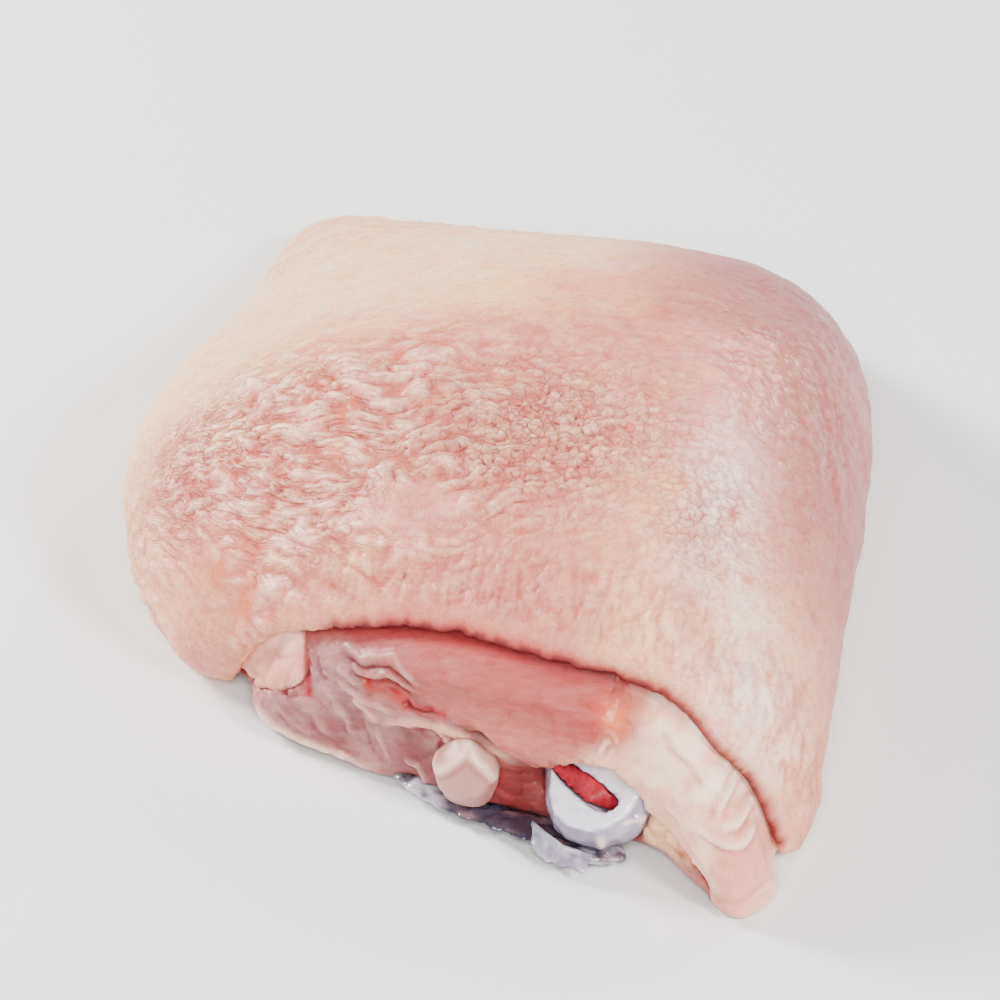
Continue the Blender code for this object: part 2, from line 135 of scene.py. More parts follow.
def rough_noise(points, size, seed=0, octaves=3):
    """Noise summed over halving sizes."""
    total = np.zeros(len(points))
    for octave in range(octaves):
        total += noise(points, np.asarray(size, float) / 2 ** octave, seed + octave) / 2 ** octave
    return total


def patches(points, size, seed, low, high):
    """Uneven patches, 0 where a rough noise is low and 1 where it is high."""
    return smooth_step(rough_noise(points, size, seed), low, high)


def drift_noise(points, size, seeds, octaves=1):
    """Three noises side by side, one for each axis."""
    return np.stack([rough_noise(points, size, seed, octaves) for seed in seeds], axis=1)


def cell_distances(points, size, seed=0):
    """Distances, in cells, to the nearest and second nearest of points scattered a size apart."""
    place = points / np.asarray(size, float) + 17.3
    base = np.floor(place)
    first = np.full(len(points), 9.0)
    second = first.copy()
    for step in np.ndindex(3, 3, 3):
        cell = base + step - 1
        far = np.linalg.norm(cell + scatter(cell, seed) - place, axis=1)
        second = np.minimum(second, np.maximum(first, far))
        first = np.minimum(first, far)
    return first, second


def smooth_step(value, low=0.0, high=1.0):
    """0 below low, 1 above high, easing between."""
    part = np.clip((value - low) / (high - low), 0.0, 1.0)
    return part * part * (3.0 - 2.0 * part)


def bell(value, width):
    """1 where a value is 0, falling off over a width."""
    return np.exp(-(value / width) ** 2)


def blob(points, centre, radius):
    """1 at a centre, falling softly to 0 at about twice the radius (one number or one per axis)."""
    return np.exp(-(((points - centre) / radius) ** 2).sum(axis=1))


def line_distance(points, line):
    """Distance of each point to a line through places, and how far along the line it is, 0 to 1."""
    line = np.asarray(line, float)
    lengths = np.linalg.norm(np.diff(line, axis=0), axis=1)
    walked = np.concatenate([[0.0], np.cumsum(lengths)])
    best = np.full(len(points), 1e9)
    along = np.zeros(len(points))
    for index, (start, end) in enumerate(zip(line[:-1], line[1:])):
        run = end - start
        part = np.clip((points - start) @ run / (run @ run), 0.0, 1.0)
        far = np.linalg.norm(points - start - part[:, None] * run, axis=1)
        nearer = far < best
        best[nearer] = far[nearer]
        along[nearer] = (walked[index] + part * lengths[index])[nearer] / walked[-1]
    return best, along


def ridge(points, line, width, taper=0.15):
    """1 along a line, falling off over a width, and thinning out towards both ends."""
    far, along = line_distance(points, line)
    ends = smooth_step(np.minimum(along, 1.0 - along), 0.0, taper)
    return bell(far, width) * ends


class Coat:
    """A colour for every point, laid on in layers."""

    def __init__(self, points, colour):
        self.colours = np.tile(np.array(colour), (len(points), 1))

    def lay(self, colour, amount):
        """Mix a colour in by an amount for each point."""
        amount = np.clip(amount, 0.0, 1.0)[:, None]
        self.colours = self.colours * (1.0 - amount) + np.asarray(colour) * amount


# ---------- meshes

def new_object(name, content):
    """Object in the scene from a mesh, a light or a camera."""
    item = bpy.data.objects.new(name, content)
    bpy.context.scene.collection.objects.link(item)
    return item


@contextmanager
def editing(mesh):
    """A mesh opened for editing, and written back at the end."""
    shell = bmesh.new()
    shell.from_mesh(mesh)
    yield shell
    shell.to_mesh(mesh)
    shell.free()


def apply_modifiers(item):
    """Replace an object's mesh by what its modifiers make of it."""
    graph = bpy.context.evaluated_depsgraph_get()
    mesh = bpy.data.meshes.new_from_object(item.evaluated_get(graph))
    item.modifiers.clear()
    item.data = mesh


def copy_node(node, rounded=False):
    """Copy of a CAD node's mesh with its points welded, as a subdivided surface if rounded."""
    item = new_object("thigh_" + node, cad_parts[node].data.copy())
    item.data.materials.clear()
    with editing(item.data) as shell:
        bmesh.ops.remove_doubles(shell, verts=shell.verts, dist=WELD * MM)
        if rounded:
            limits = {"angle_face_threshold": ANY_ANGLE, "angle_shape_threshold": ANY_ANGLE}
            bmesh.ops.join_triangles(shell, faces=shell.faces, **limits)
    if rounded:
        item.modifiers.new("round", "SUBSURF").levels = 2
        apply_modifiers(item)
    return item


def remesh(item, voxel):
    """Even quads of about the given size over an object's outside."""
    modifier = item.modifiers.new("even", "REMESH")
    modifier.mode = "VOXEL"
    modifier.voxel_size = voxel * MM
    apply_modifiers(item)


def read_points(item):
    """Points and normals of an object's mesh, in millimetres."""
    mesh = item.data
    points = np.empty(len(mesh.vertices) * 3)
    mesh.vertices.foreach_get("co", points)
    normals = np.empty(len(mesh.vertices) * 3)
    mesh.vertex_normals.foreach_get("vector", normals)
    return points.reshape(-1, 3) / MM, normals.reshape(-1, 3)


def write_points(item, points):
    """Put millimetre points back into an object's mesh."""
    item.data.vertices.foreach_set("co", (points * MM).ravel())
    item.data.update()


def smooth(item, rounds, weight=1.0):
    """Even out a mesh without shrinking it."""
    points, _normals = read_points(item)
    edges = np.empty(len(item.data.edges) * 2, dtype=np.int32)
    item.data.edges.foreach_get("vertices", edges)
    one, other = edges.reshape(-1, 2).T
    count = len(points)
    degree = np.maximum(np.bincount(one, minlength=count) + np.bincount(other, minlength=count), 1)
    for step in range(rounds * 2):
        pull = SMOOTH_PULL if step % 2 == 0 else SMOOTH_PUSH
        for axis in range(3):
            value = points[:, axis]
            total = np.bincount(one, value[other], count) + np.bincount(other, value[one], count)
            points[:, axis] = value + (total / degree - value) * pull * weight
    write_points(item, points)


def soft_copy(node, voxel, rounds):
    """Copy of a CAD node in even quads of about the given size, evened out in a number of rounds."""
    item = copy_node(node)
    remesh(item, voxel)
    smooth(item, rounds)
    return item


def refine(item, chosen):
    """Split the faces whose points are all chosen into four."""
    with editing(item.data) as shell:
        shell.verts.ensure_lookup_table()
        edges = [edge for edge in shell.edges if all(chosen[vert.index] for vert in edge.verts)]
        bmesh.ops.subdivide_edges(shell, edges=edges, cuts=1, use_grid_fill=True)


def displace(item, amount):
    """Push a mesh's points out along their normals."""
    points, normals = read_points(item)
    write_points(item, points + normals * amount[:, None])


def paint(item, colours, wet, name="paint"):
    """Store a colour for each point, and in its alpha how wet the points are."""
    attribute = item.data.color_attributes.new(name, "FLOAT_COLOR", "POINT")
    wet = np.broadcast_to(wet, len(colours))
    values = np.clip(np.column_stack([colours, wet]), 0.0, 1.0)
    attribute.data.foreach_set("color", values.ravel())


def store_places(item, name, places):
    """Store for each point the place at which a material reads its noise."""
    attribute = item.data.attributes.new(name, "FLOAT_VECTOR", "POINT")
    attribute.data.foreach_set("vector", (places * MM).ravel())


def surface_tree(meshes):
    """Search tree of meshes' surfaces."""
    points, faces = [], []
    for mesh in meshes:
        start = len(points)
        points += [vertex.co for vertex in mesh.vertices]
        faces += [[start + index for index in polygon.vertices] for polygon in mesh.polygons]
    return BVHTree.FromPolygons(points, faces)


def node_distances(item, *nodes):
    """Distance of each of an object's points from the surfaces of CAD nodes."""
    tree = surface_tree([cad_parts[node].data for node in nodes])
    return np.array([tree.find_nearest(vertex.co)[3] for vertex in item.data.vertices]) / MM


def finish_piece(item, material, slot, *nodes):
    """Give a piece its material and its place on the thigh, and hide the CAD nodes that it stands for."""
    item.data.materials.append(material)
    for polygon in item.data.polygons:
        polygon.use_smooth = True
    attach(item, "root")
    if nodes:
        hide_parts(*nodes)


# ---------- materials

class Graph:
    """Short way to build a material's nodes over a piece's painted colour and wetness."""

    def __init__(self, name):
        self.material = bpy.data.materials.new(name)
        self.material.use_nodes = True
        self.nodes = self.material.node_tree.nodes
        self.place = self.nodes.new("ShaderNodeTexCoord").outputs["Object"]
        paint_outputs = self.stored("paint")
        self.colour, self.wet = paint_outputs["Color"], paint_outputs["Alpha"]

    def put(self, socket, value):
        """Link or set one input."""
        if isinstance(value, bpy.types.NodeSocket):
            self.material.node_tree.links.new(value, socket)
        else:
            socket.default_value = value

    def add(self, kind, **inputs):
        """New node with its inputs set or linked."""
        node = self.nodes.new(kind)
        for key, value in inputs.items():
            self.put(node.inputs[key.replace("_", " ")], value)
        return node

    def stored(self, name):
        """Outputs for what a piece's points store under a name."""
        node = self.nodes.new("ShaderNodeAttribute")
        node.attribute_name = name
        return node.outputs

    def noise(self, size, detail=4.0, roughness=0.6, stretch=(1.0, 1.0, 1.0), place=None):
        """Noise value with features of the given size in millimetres, drawn out along some axes."""
        mapped = self.add("ShaderNodeMapping", Vector=place or self.place, Scale=stretch)
        node = self.add("ShaderNodeTexNoise", Vector=mapped.outputs["Vector"], Scale=1.0 / (size * MM))
        self.put(node.inputs["Detail"], detail)
        self.put(node.inputs["Roughness"], roughness)
        return node.outputs["Fac"]

    def cells(self, size, feature="F1"):
        """Distance from scattered points about a size in millimetres apart, or from their cells' edges."""
        node = self.add("ShaderNodeTexVoronoi", Vector=self.place, Scale=1.0 / (size * MM))
        node.feature = feature
        return node.outputs["Distance"]

    def ramp(self, value, low, high, out_low=0.0, out_high=1.0):
        """Value carried from one range to another."""
        ranges = {"From_Min": low, "From_Max": high, "To_Min": out_low, "To_Max": out_high}
        return self.add("ShaderNodeMapRange", Value=value, **ranges).outputs["Result"]

    def math(self, how, one, other):
        """Two values combined."""
        node = self.nodes.new("ShaderNodeMath")
        node.operation = how
        self.put(node.inputs[0], one)
        self.put(node.inputs[1], other)
        return node.outputs[0]

    def product(self, *values):
        """Values multiplied together."""
        result = values[0]
        for value in values[1:]:
            result = self.math("MULTIPLY", result, value)
        return result

    def roughness(self, dry, soaked, blotch, swing):
        """Roughness that falls from dry to soaked points, made uneven by a blotchy noise."""
        uneven = self.ramp(blotch, 0.3, 0.7, 1.0 - swing, 1.0 + swing)
        return self.product(self.ramp(self.wet, 0.0, 1.0, dry, soaked), uneven)

    def bump(self, height, depth, before=None):
        """Bump of a depth in millimetres, over another bump if there is one before it."""
        node = self.add("ShaderNodeBump", Height=height, Strength=1.0, Distance=depth * MM)
        if before:
            self.put(node.inputs["Normal"], before)
        return node.outputs["Normal"]

    def lines(self, size, width, stretch, place=None):
        """1 along thin wandering lines about a size in millimetres apart, 0 between them."""
        wave = self.noise(size, 1.5, 0.5, stretch, place)
        away = self.math("ABSOLUTE", self.math("SUBTRACT", wave, 0.5), 0.0)
        return self.ramp(away, width, 0.0)

    def tint(self, value, low, high, shade):
        """Multiply the colour by a shade where a value is high."""
        node = self.nodes.new("ShaderNodeMix")
        node.data_type = "RGBA"
        node.blend_type = "MULTIPLY"
        self.put(node.inputs[0], self.ramp(value, low, high))
        self.put(node.inputs[6], self.colour)
        self.put(node.inputs[7], (*shade, 1.0))
        self.colour = node.outputs[2]

    def finish(self, rough, normal, glow, gloss, gloss_rough=0.15, shine=0.35):
        """The material, with its inner glow, its wet gloss and its shine set."""
        inputs = {
            "Base Color": self.colour,
            "Roughness": rough,
            "Normal": normal,
            "Subsurface Weight": glow,
            "Subsurface Radius": (1.0, 0.3, 0.22),
            "Subsurface Scale": 0.0016,
            "Specular IOR Level": shine,
            "Coat Weight": gloss,
            "Coat Roughness": gloss_rough,
        }
        for name, value in inputs.items():
            self.put(self.nodes["Principled BSDF"].inputs[name], value)
        return self.material


def skin_material():
    """Raw skin: fine wrinkles in their zones with painted shade in their creases, goose bumps, capillaries
    and blotches, half wet.
    """
    graph = Graph("skin")
    zones = graph.stored("zones")
    level_zone, front_zone, cell_zone = graph.add("ShaderNodeSeparateColor", Color=zones["Color"]).outputs
    fan = graph.stored("fan")["Vector"]
    long_lines = graph.lines(2.0, 0.08, (0.22, 1.0, 1.0), fan)
    short_lines = graph.lines(1.2, 0.07, (0.3, 1.0, 1.0), fan)
    level = graph.product(graph.math("MAXIMUM", long_lines, short_lines), level_zone, 0.65)
    streaks = graph.ramp(graph.noise(1.3, 2.0, 0.5, (1.0, 0.3, 0.35)), 0.55, 0.3)
    upright = graph.product(streaks, front_zone, 0.6)
    walls = graph.product(graph.ramp(graph.cells(1.4, "DISTANCE_TO_EDGE"), 0.16, 0.0), cell_zone)
    crease = graph.math("MAXIMUM", graph.math("MAXIMUM", level, upright), walls)
    fine = graph.noise(0.7, 4.0, 0.62)
    blotch = graph.noise(2.4)
    threads = graph.lines(2.6, 0.03, (1.0, 1.0, 1.0))
    graph.tint(fine, 0.62, 0.36, (0.95, 0.8, 0.78))
    graph.tint(blotch, 0.5, 0.72, (0.98, 0.82, 0.76))
    graph.tint(threads, 0.0, 1.6, (0.88, 0.6, 0.55))
    # Painted shade: the skin darker in the creases of its wrinkles, cells and upright folds
    graph.tint(crease, 0.0, 1.0, (0.8, 0.54, 0.5))
    grain = graph.cells(1.0)
    spark = graph.product(zones["Alpha"], graph.ramp(grain, 0.6, 0.2), 0.16)
    rough = graph.math("SUBTRACT", graph.roughness(0.62, 0.3, blotch, 0.2), spark)
    normal = graph.bump(crease, -0.3, graph.bump(grain, 0.12))
    return graph.finish(rough, graph.bump(fine, 0.09, normal), 0.2, 0.08)


def meat_material():
    """Raw muscle: short fibres across, small clots and a wet film."""
    graph = Graph("meat")
    fibre = graph.noise(0.7, stretch=(0.22, 1.0, 1.0))
    blotch = graph.noise(2.4)
    threads = graph.lines(3.4, 0.03, (0.5, 1.0, 1.0))
    graph.tint(fibre, 0.62, 0.38, (0.93, 0.74, 0.74))
    graph.tint(blotch, 0.55, 0.75, (0.97, 0.7, 0.68))
    graph.tint(threads, 0.0, 2.0, (0.8, 0.55, 0.55))
    rough = graph.roughness(0.62, 0.16, blotch, 0.15)
    return graph.finish(rough, graph.bump(fibre, 0.07), 0.1, 0.05, 0.25, 0.3)


def fat_material():
    """Soft fat: faint lobes and threads."""
    graph = Graph("fat")
    fine = graph.noise(0.7)
    blotch = graph.noise(2.2, 3.0, 0.6)
    graph.tint(fine, 0.6, 0.4, (0.99, 0.91, 0.88))
    graph.tint(blotch, 0.55, 0.75, (1.0, 0.86, 0.8))
    rough = graph.roughness(0.6, 0.3, blotch, 0.2)
    return graph.finish(rough, graph.bump(fine, 0.07), 0.25, 0.1, 0.3)


def bone_material():
    """Wet cartilage and bone with a bluish film."""
    graph = Graph("bone")
    cloud = graph.noise(1.8)
    graph.tint(cloud, 0.45, 0.75, (0.8, 0.76, 0.9))
    rough = graph.ramp(graph.wet, 0.0, 1.0, 0.4, 0.16)
    return graph.finish(rough, graph.bump(cloud, 0.1), 0.12, 0.5)


def marrow_material():
    """Dark wet marrow with a fine open grain."""
    graph = Graph("marrow")
    grain = graph.cells(0.7)
    graph.tint(grain, 0.55, 0.15, (0.8, 0.6, 0.62))
    rough = graph.ramp(graph.wet, 0.0, 1.0, 0.55, 0.34)
    return graph.finish(rough, graph.bump(grain, 0.03), 0.05, 0.0, 0.15, 0.25)


def film_material():
    """Thin wet sinew and membrane."""
    graph = Graph("sinew")
    fibre = graph.noise(0.9, stretch=(0.3, 0.3, 1.0))
    graph.tint(fibre, 0.6, 0.4, (0.85, 0.82, 0.9))
    rough = graph.ramp(graph.wet, 0.0, 1.0, 0.34, 0.12)
    return graph.finish(rough, graph.bump(fibre, 0.08), 0.15, 0.8)


# ---------- skin

CREASES = (  # short orange-brown creases on the top, in plan: start, end
    ((-23.5, -11.0), (-19.0, -5.5)),
    ((-16.5, -8.5), (-11.5, -1.5)),
    ((-19.0, -17.0), (-16.6, -10.5)),
    ((-25.0, -3.0), (-21.0, 1.0)),
    ((-33.5, -12.5), (-31.5, -7.0)),
    ((-8.0, -14.0), (-3.5, -11.5)),
)
SPECKS = (  # small marks on the top, in plan: place, radius, colour
    ((19.9, -20.0), 0.8, YOLK),
    ((37.7, -36.4), 0.9, BLISTER),
    ((46.3, -32.6), 0.7, PLUM),
    ((22.5, -38.0), 2.2, LILAC),
    ((-29.2, -34.6), 1.7, BLISTER),
    ((-33.0, -30.5), 1.2, BLISTER),
    ((-18.5, -20.0), 1.4, YOLK),
    ((-14.0, -37.0), 1.3, YOLK),
    ((27.0, -26.0), 2.6, YOLK),
    ((24.0, -31.0), 2.0, YOLK),
    ((2.0, -9.0), 1.3, YOLK),
    ((-1.5, -22.5), 0.6, ROSE),
    ((0.8, -24.0), 0.5, PLUM),
    ((3.0, -18.5), 0.5, ROSE),
)
LIP_REACH = 3.0  # how far from its rim the skin's lip is made finer
LIP = (  # free edge of the skin over the cut face
    (-19.0, -40.3, 19.6),
    (-15.0, -41.4, 21.4),
    (-12.0, -42.3, 22.6),
    (-6.0, -43.9, 24.9),
    (0.0, -45.0, 25.4),
    (6.0, -47.1, 26.1),
    (12.0, -49.4, 26.0),
    (18.0, -51.0, 26.1),
    (24.0, -51.8, 25.0),
    (30.0, -54.6, 24.3),
    (33.3, -56.8, 22.4),
    (36.0, -58.7, 20.0),
    (39.8, -59.6, 16.4),
    (42.4, -60.3, 11.6),
    (43.6, -60.6, 8.0),
)


def billow(value):
    """Rounded ridges with sharp valleys at 0 out of a smooth noise."""
    return np.sqrt(value * value + 0.004)


def fan_out(points):
    """Points turned so that the direction away from the skin's left corner becomes +X."""
    x, y = points[:, 0], points[:, 1]
    turn = np.arctan2(y + 9.0, x + 60.0) * smooth_step(18.0 - x, 0.0, 40.0)
    across, along = x + 22.0, y + 15.0
    turned = points.copy()
    turned[:, 0] = across * np.cos(turn) + along * np.sin(turn)
    turned[:, 1] = along * np.cos(turn) - across * np.sin(turn)
    return turned


def lilac_patch(points):
    """Smooth lilac patch near the skin's front, with an uneven border."""
    return blob(points[:, :2], (-6.5, -31.0), (7.5, 5.5)) + 0.2 * noise(points, 3.0, 45)


def skin_zones(points):
    """Weights of level crinkles, upright creases, cells and stipple, and how lively the skin is."""
    plan = points[:, :2]
    x, y = plan.T
    fan = blob(plan, (-30.0, -18.0), 17.0)
    middle = blob(plan, (-8.0, -18.0), (22.0, 19.0))
    level = np.clip(1.2 * fan + middle + 0.06, 0.0, 1.0)
    front = smooth_step(-y - 0.12 * x, 33.0, 42.0) * smooth_step(x, -30.0, -16.0)
    cells = blob(plan, (8.0, -18.0), (19.0, 17.0))
    cells = np.maximum(cells, 0.6 * blob(plan, (31.0, -30.0), (10.0, 14.0)))
    stipple = blob(plan, (40.0, 6.0), (13.0, 25.0))
    lively = 1.0 - 0.75 * smooth_step(lilac_patch(points), 0.25, 0.8)
    lively *= 1.0 - 0.9 * smooth_step(y - 0.5 * x, 12.0, 34.0)
    lively *= 1.0 - 0.9 * blob(plan, (-37.0, -34.0), 9.0)
    behind = smooth_step(y - 0.2 * x, 42.0, 58.0)
    return np.maximum(level * lively, 0.4 * behind), front, cells * lively, stipple, lively


def skin_relief(points):
    """Height of the skin's wrinkles and pores, how much painted shade falls in their valleys and painted
    light on their crests, where dots are, and the fan.
    """
    drift = drift_noise(points, 11.0, (1, 2, 3))
    swirl = drift_noise(points, 4.5, (4, 5, 6))
    bent = points + drift * 2.0 + swirl * 0.8
    fanned = fan_out(points) + drift * 2.0 + swirl * 0.8
    level, front, cell_zone, stipple, lively = skin_zones(points)

    long_waves = billow(noise(fanned, (8.5, 1.8, 2.4), 11))
    short_waves = billow(noise(fanned, (4.4, 1.15, 1.5), 12))
    upright = billow(noise(bent, (1.5, 6.0, 4.6), 13))
    first, second = cell_distances(bent, 2.1, 5)
    walls = np.clip((second - first) / 0.35, 0.0, 1.0)
    dot, _far = cell_distances(points + drift * 0.5, 1.5, 6)
    dots = np.clip(1.0 - dot / 0.6, 0.0, 1.0)
    streaks = noise(bent, (1.3, 6.0, 6.0), 14) * smooth_step(points[:, 0], 38.0, 47.0)

    height = 0.5 * noise(points, 21.0, 21) + 0.38 * noise(points, 8.5, 22)
    height += 0.1 * noise(points, 3.6, 23) * (0.4 + lively)
    height += level * (1.2 * long_waves + short_waves - 0.5)
    height += front * (0.7 * upright - 0.2)
    height += cell_zone * (0.75 * walls - 0.5)
    height += (0.1 + stipple) * 0.3 * dots + 0.18 * streaks
    for crease in CREASES:
        height -= 0.35 * ridge(bent[:, :2], crease, 0.45)
    valley_shade = level * (bell(long_waves, 0.15) + 0.8 * bell(short_waves, 0.17))
    valley_shade += 0.9 * front * bell(upright, 0.18) + 1.1 * cell_zone * (1.0 - walls) ** 1.3
    crest = level * smooth_step(0.6 * long_waves + 0.5 * short_waves, 0.22, 0.5) + 0.5 * cell_zone * walls
    return height, np.clip(valley_shade, 0.0, 1.0), np.clip(crest, 0.0, 1.0), dots * stipple, fanned


def skin_coat(points, normals, valley_shade, crest, dots):
    """Painted colours of the skin, with painted shade and light on its wrinkles, painted shade on its right
    and back, and a painted highlight along the right ridge.
    """
    x, y, _z = points.T
    plan = points[:, :2]
    coat = Coat(points, PALE_PINK)
    coat.lay(CREAM, 0.2 * blob(plan, (-16.0, -32.0), 14.0))
    broad = rough_noise(points, 15.0, 31)
    fine = rough_noise(points, 3.4, 32)
    back = smooth_step(y - 0.55 * x + 9.0 * broad, 0.0, 32.0)
    left = 0.85 * smooth_step(-x + 6.0 * broad, 36.0, 50.0)
    front_right = 0.9 * blob(plan, (39.0, -46.0), (11.0, 17.0))
    front = 0.7 * blob(plan, (26.0, -44.0), (7.0, 15.0))
    creamy = np.max([back, left, front_right, front], axis=0)
    coat.lay(ROSE, 0.34 * smooth_step(fine + 0.5 * broad, -0.1, 0.9) * (1.0 - creamy))
    coat.lay(CREAM, creamy)
    coat.lay(IVORY, 0.5 * creamy * smooth_step(fine, 0.0, 0.8))
    bruised = patches(points, 7.0, 33, 0.15, 0.85)
    coat.lay(LILAC, 0.45 * bruised * (1.0 - 0.7 * creamy))
    coat.lay(YOLK, 0.38 * patches(points, 5.0, 34, 0.25, 0.9))
    coat.lay(LILAC, 0.35 * smooth_step(lilac_patch(points), 0.2, 0.8))
    tail = blob(points, (-36.5, -29.0, 18.0), (9.0, 8.0, 13.0))
    coat.lay(SALMON, 0.6 * tail * smooth_step(fine, -0.7, 0.5))
    # Plum on the right and back: partly the skin's own colour, partly painted shade
    plum_and_shade = smooth_step(0.55 * x + y + 7.0 * broad, 14.0, 56.0) * smooth_step(x, 2.0, 36.0)
    plum_and_shade = np.maximum(plum_and_shade, 0.85 * blob(plan, (49.0, -2.0), (10.0, 32.0)))
    coat.lay(LILAC, 0.85 * plum_and_shade)
    coat.lay(PLUM, 0.66 * plum_and_shade)
    coat.lay(ROSE, 0.22 * blob(plan, (9.0, -39.0), (9.0, 8.0)))
    # Painted highlight along the right ridge
    ridge_highlight = blob(plan, (33.5, -27.0), (6.0, 17.0)) * smooth_step(fine + 0.5 * broad, -1.6, 0.8)
    coat.lay(PEARL, 0.95 * ridge_highlight)
    flap = blob(plan, (39.5, -50.0), (5.5, 10.0))
    coat.lay(PEARL, 0.85 * flap * smooth_step(fine, -1.2, 0.3))
    # Painted light on the wrinkles' crests and painted shade in their valleys
    coat.lay(IVORY, 0.62 * crest)
    coat.lay(ROSE, 0.66 * valley_shade * (1.0 - 0.35 * creamy))
    coat.lay(FAT_WHITE, 0.3 * dots)
    for crease in CREASES:
        coat.lay(BLISTER, 0.55 * ridge(plan, crease, 0.42))
    for place, radius, colour in SPECKS:
        coat.lay(colour, 0.65 * blob(plan, place, radius) * smooth_step(fine, -1.0, 0.2))
    coat.lay(CREAM, 0.5 * smooth_step(-normals[:, 2], 0.3, 0.9))
    return coat


def lip_distances(points, normals):
    """Distance of each point from the rim of the skin's free edge."""
    facing = normals @ TOWARDS_EYE
    rim = points[(line_distance(points, LIP)[0] < 1.6) & (facing > -0.1) & (facing < 0.55)]
    tree = KDTree(len(rim))
    for index, point in enumerate(rim):
        tree.insert(point, index)
    tree.balance()
    return np.array([tree.find(point)[2] for point in points])


def make_skin():
    """The skin: crinkled, pitted and mottled, and red along its free edge, partly blood and partly painted
    shade.
    """
    item = copy_node("skin", rounded=True)
    rounded = surface_tree([item.data])
    remesh(item, SKIN_VOXEL)
    smooth(item, 10)
    core = ("meat", "fat_pad", "end_fat")
    points, normals = read_points(item)
    from_core = node_distances(item, *core)
    by_lip = lip_distances(points, normals) < LIP_REACH
    refine(item, by_lip | ((from_core > 1.25) & (normals[:, 2] > -0.35)))
    smooth(item, 2)
    before, normals = read_points(item)
    from_lip = lip_distances(before, normals)
    smooth(item, 14, 0.9)
    points, normals = read_points(item)
    from_core = node_distances(item, *core)
    points = np.where((from_lip < LIP_REACH)[:, None], points, before)
    for index in np.nonzero(from_lip < LIP_REACH + 0.5)[0]:
        points[index] = np.array(rounded.find_nearest(Vector(points[index] * MM))[0]) / MM
    write_points(item, points)
    outer = smooth_step(from_core, 0.9, 2.0) * smooth_step(from_lip, 1.0, 5.0)
    height, valley_shade, crest, dots, fanned = skin_relief(points)
    off_floor = smooth_step(points[:, 2], 0.3, 2.5)
    displace(item, (height - 0.15) * outer * off_floor)
    coat = skin_coat(points, normals, valley_shade * outer, crest * outer, dots * outer)
    # Deep red line along the free edge, from the left end on: partly blood, partly painted shade under the
    # lip
    lip_blood_and_shade = smooth_step(points[:, 0], -20.0, -13.0)
    for colour, amount, width in ((ROSE, 0.55, 1.5), (FRESH_BLOOD, 0.85, 0.9), (BLOOD, 0.9, 0.5)):
        coat.lay(colour, amount * bell(from_lip, width) * lip_blood_and_shade)
    wet = 0.42 + 0.3 * noise(points, 8.0, 41)
    wet += 0.5 * blob(points[:, :2], (38.0, -6.0), (15.0, 36.0))
    paint(item, coat.colours, wet)
    level, front, cells, stipple, _lively = skin_zones(points)
    paint(item, np.column_stack([level, front, cells]) * outer[:, None], stipple * outer, "zones")
    store_places(item, "fan", fanned)
    finish_piece(item, skin_material(), "skin", "skin")


# ---------- meat

MUSCLE_FOOT = (  # lower edge of the smooth upper muscle: along X, height
    (-20.0, 21.0),
    (-14.0, 19.7),
    (-10.6, 18.5),
    (-5.4, 17.9),
    (-3.4, 16.8),
    (0.0, 16.2),
    (5.0, 15.0),
    (8.2, 12.6),
    (12.0, 11.0),
    (15.0, 12.0),
    (30.0, 11.0),
)
FOLDS = (  # light folds of membrane on the cut face: width, rise, places along X and up
    (0.36, 0.5, (
        (-15.1, 18.4), (-13.6, 18.4), (-12.0, 18.2), (-9.7, 19.5), (-7.5, 20.2), (-5.2, 19.3), (-3.6, 18.0),
    )),
    (0.36, 0.5, ((-13.8, 17.0), (-11.6, 16.3), (-10.2, 17.1), (-8.2, 18.2), (-6.6, 18.1), (-4.2, 16.9))),
    (0.34, 0.4, ((-15.4, 16.0), (-13.8, 15.2), (-12.4, 14.4))),
    (0.4, 0.6, ((-15.8, 14.4), (-13.4, 13.0), (-11.5, 12.2), (-9.4, 12.4), (-6.5, 13.3))),
    (0.65, 0.6, ((-13.4, 12.2), (-10.9, 10.5), (-9.7, 9.2))),
    (0.65, 0.6, ((-9.7, 9.4), (-7.3, 11.3), (-3.7, 12.9), (-0.9, 13.5), (2.0, 14.0), (4.9, 15.1))),
    (0.65, 0.5, ((-0.9, 13.6), (0.1, 11.8), (1.2, 11.4), (2.6, 13.0))),
    (0.35, 0.5, ((-9.7, 9.0), (-8.8, 6.0), (-7.4, 4.0))),
    (0.4, 0.7, ((-5.9, 5.4), (-4.0, 5.6), (-3.0, 4.1), (-2.3, 2.8))),
    (0.6, 0.3, ((-23.5, 9.6), (-20.7, 8.4), (-18.5, 6.8), (-16.4, 4.8))),
    (0.5, 0.4, ((-17.6, 12.6), (-15.8, 10.4), (-14.4, 8.4), (-13.0, 5.6))),
    (0.45, 0.3, ((-24.0, 6.4), (-21.6, 5.2), (-18.6, 4.2))),
    (0.5, 0.7, ((6.2, 14.2), (8.6, 12.2), (11.4, 10.6), (13.0, 10.4))),
)
DEEPEST_GROOVE = 0.4  # a depth beyond it only strengthens a groove's colour
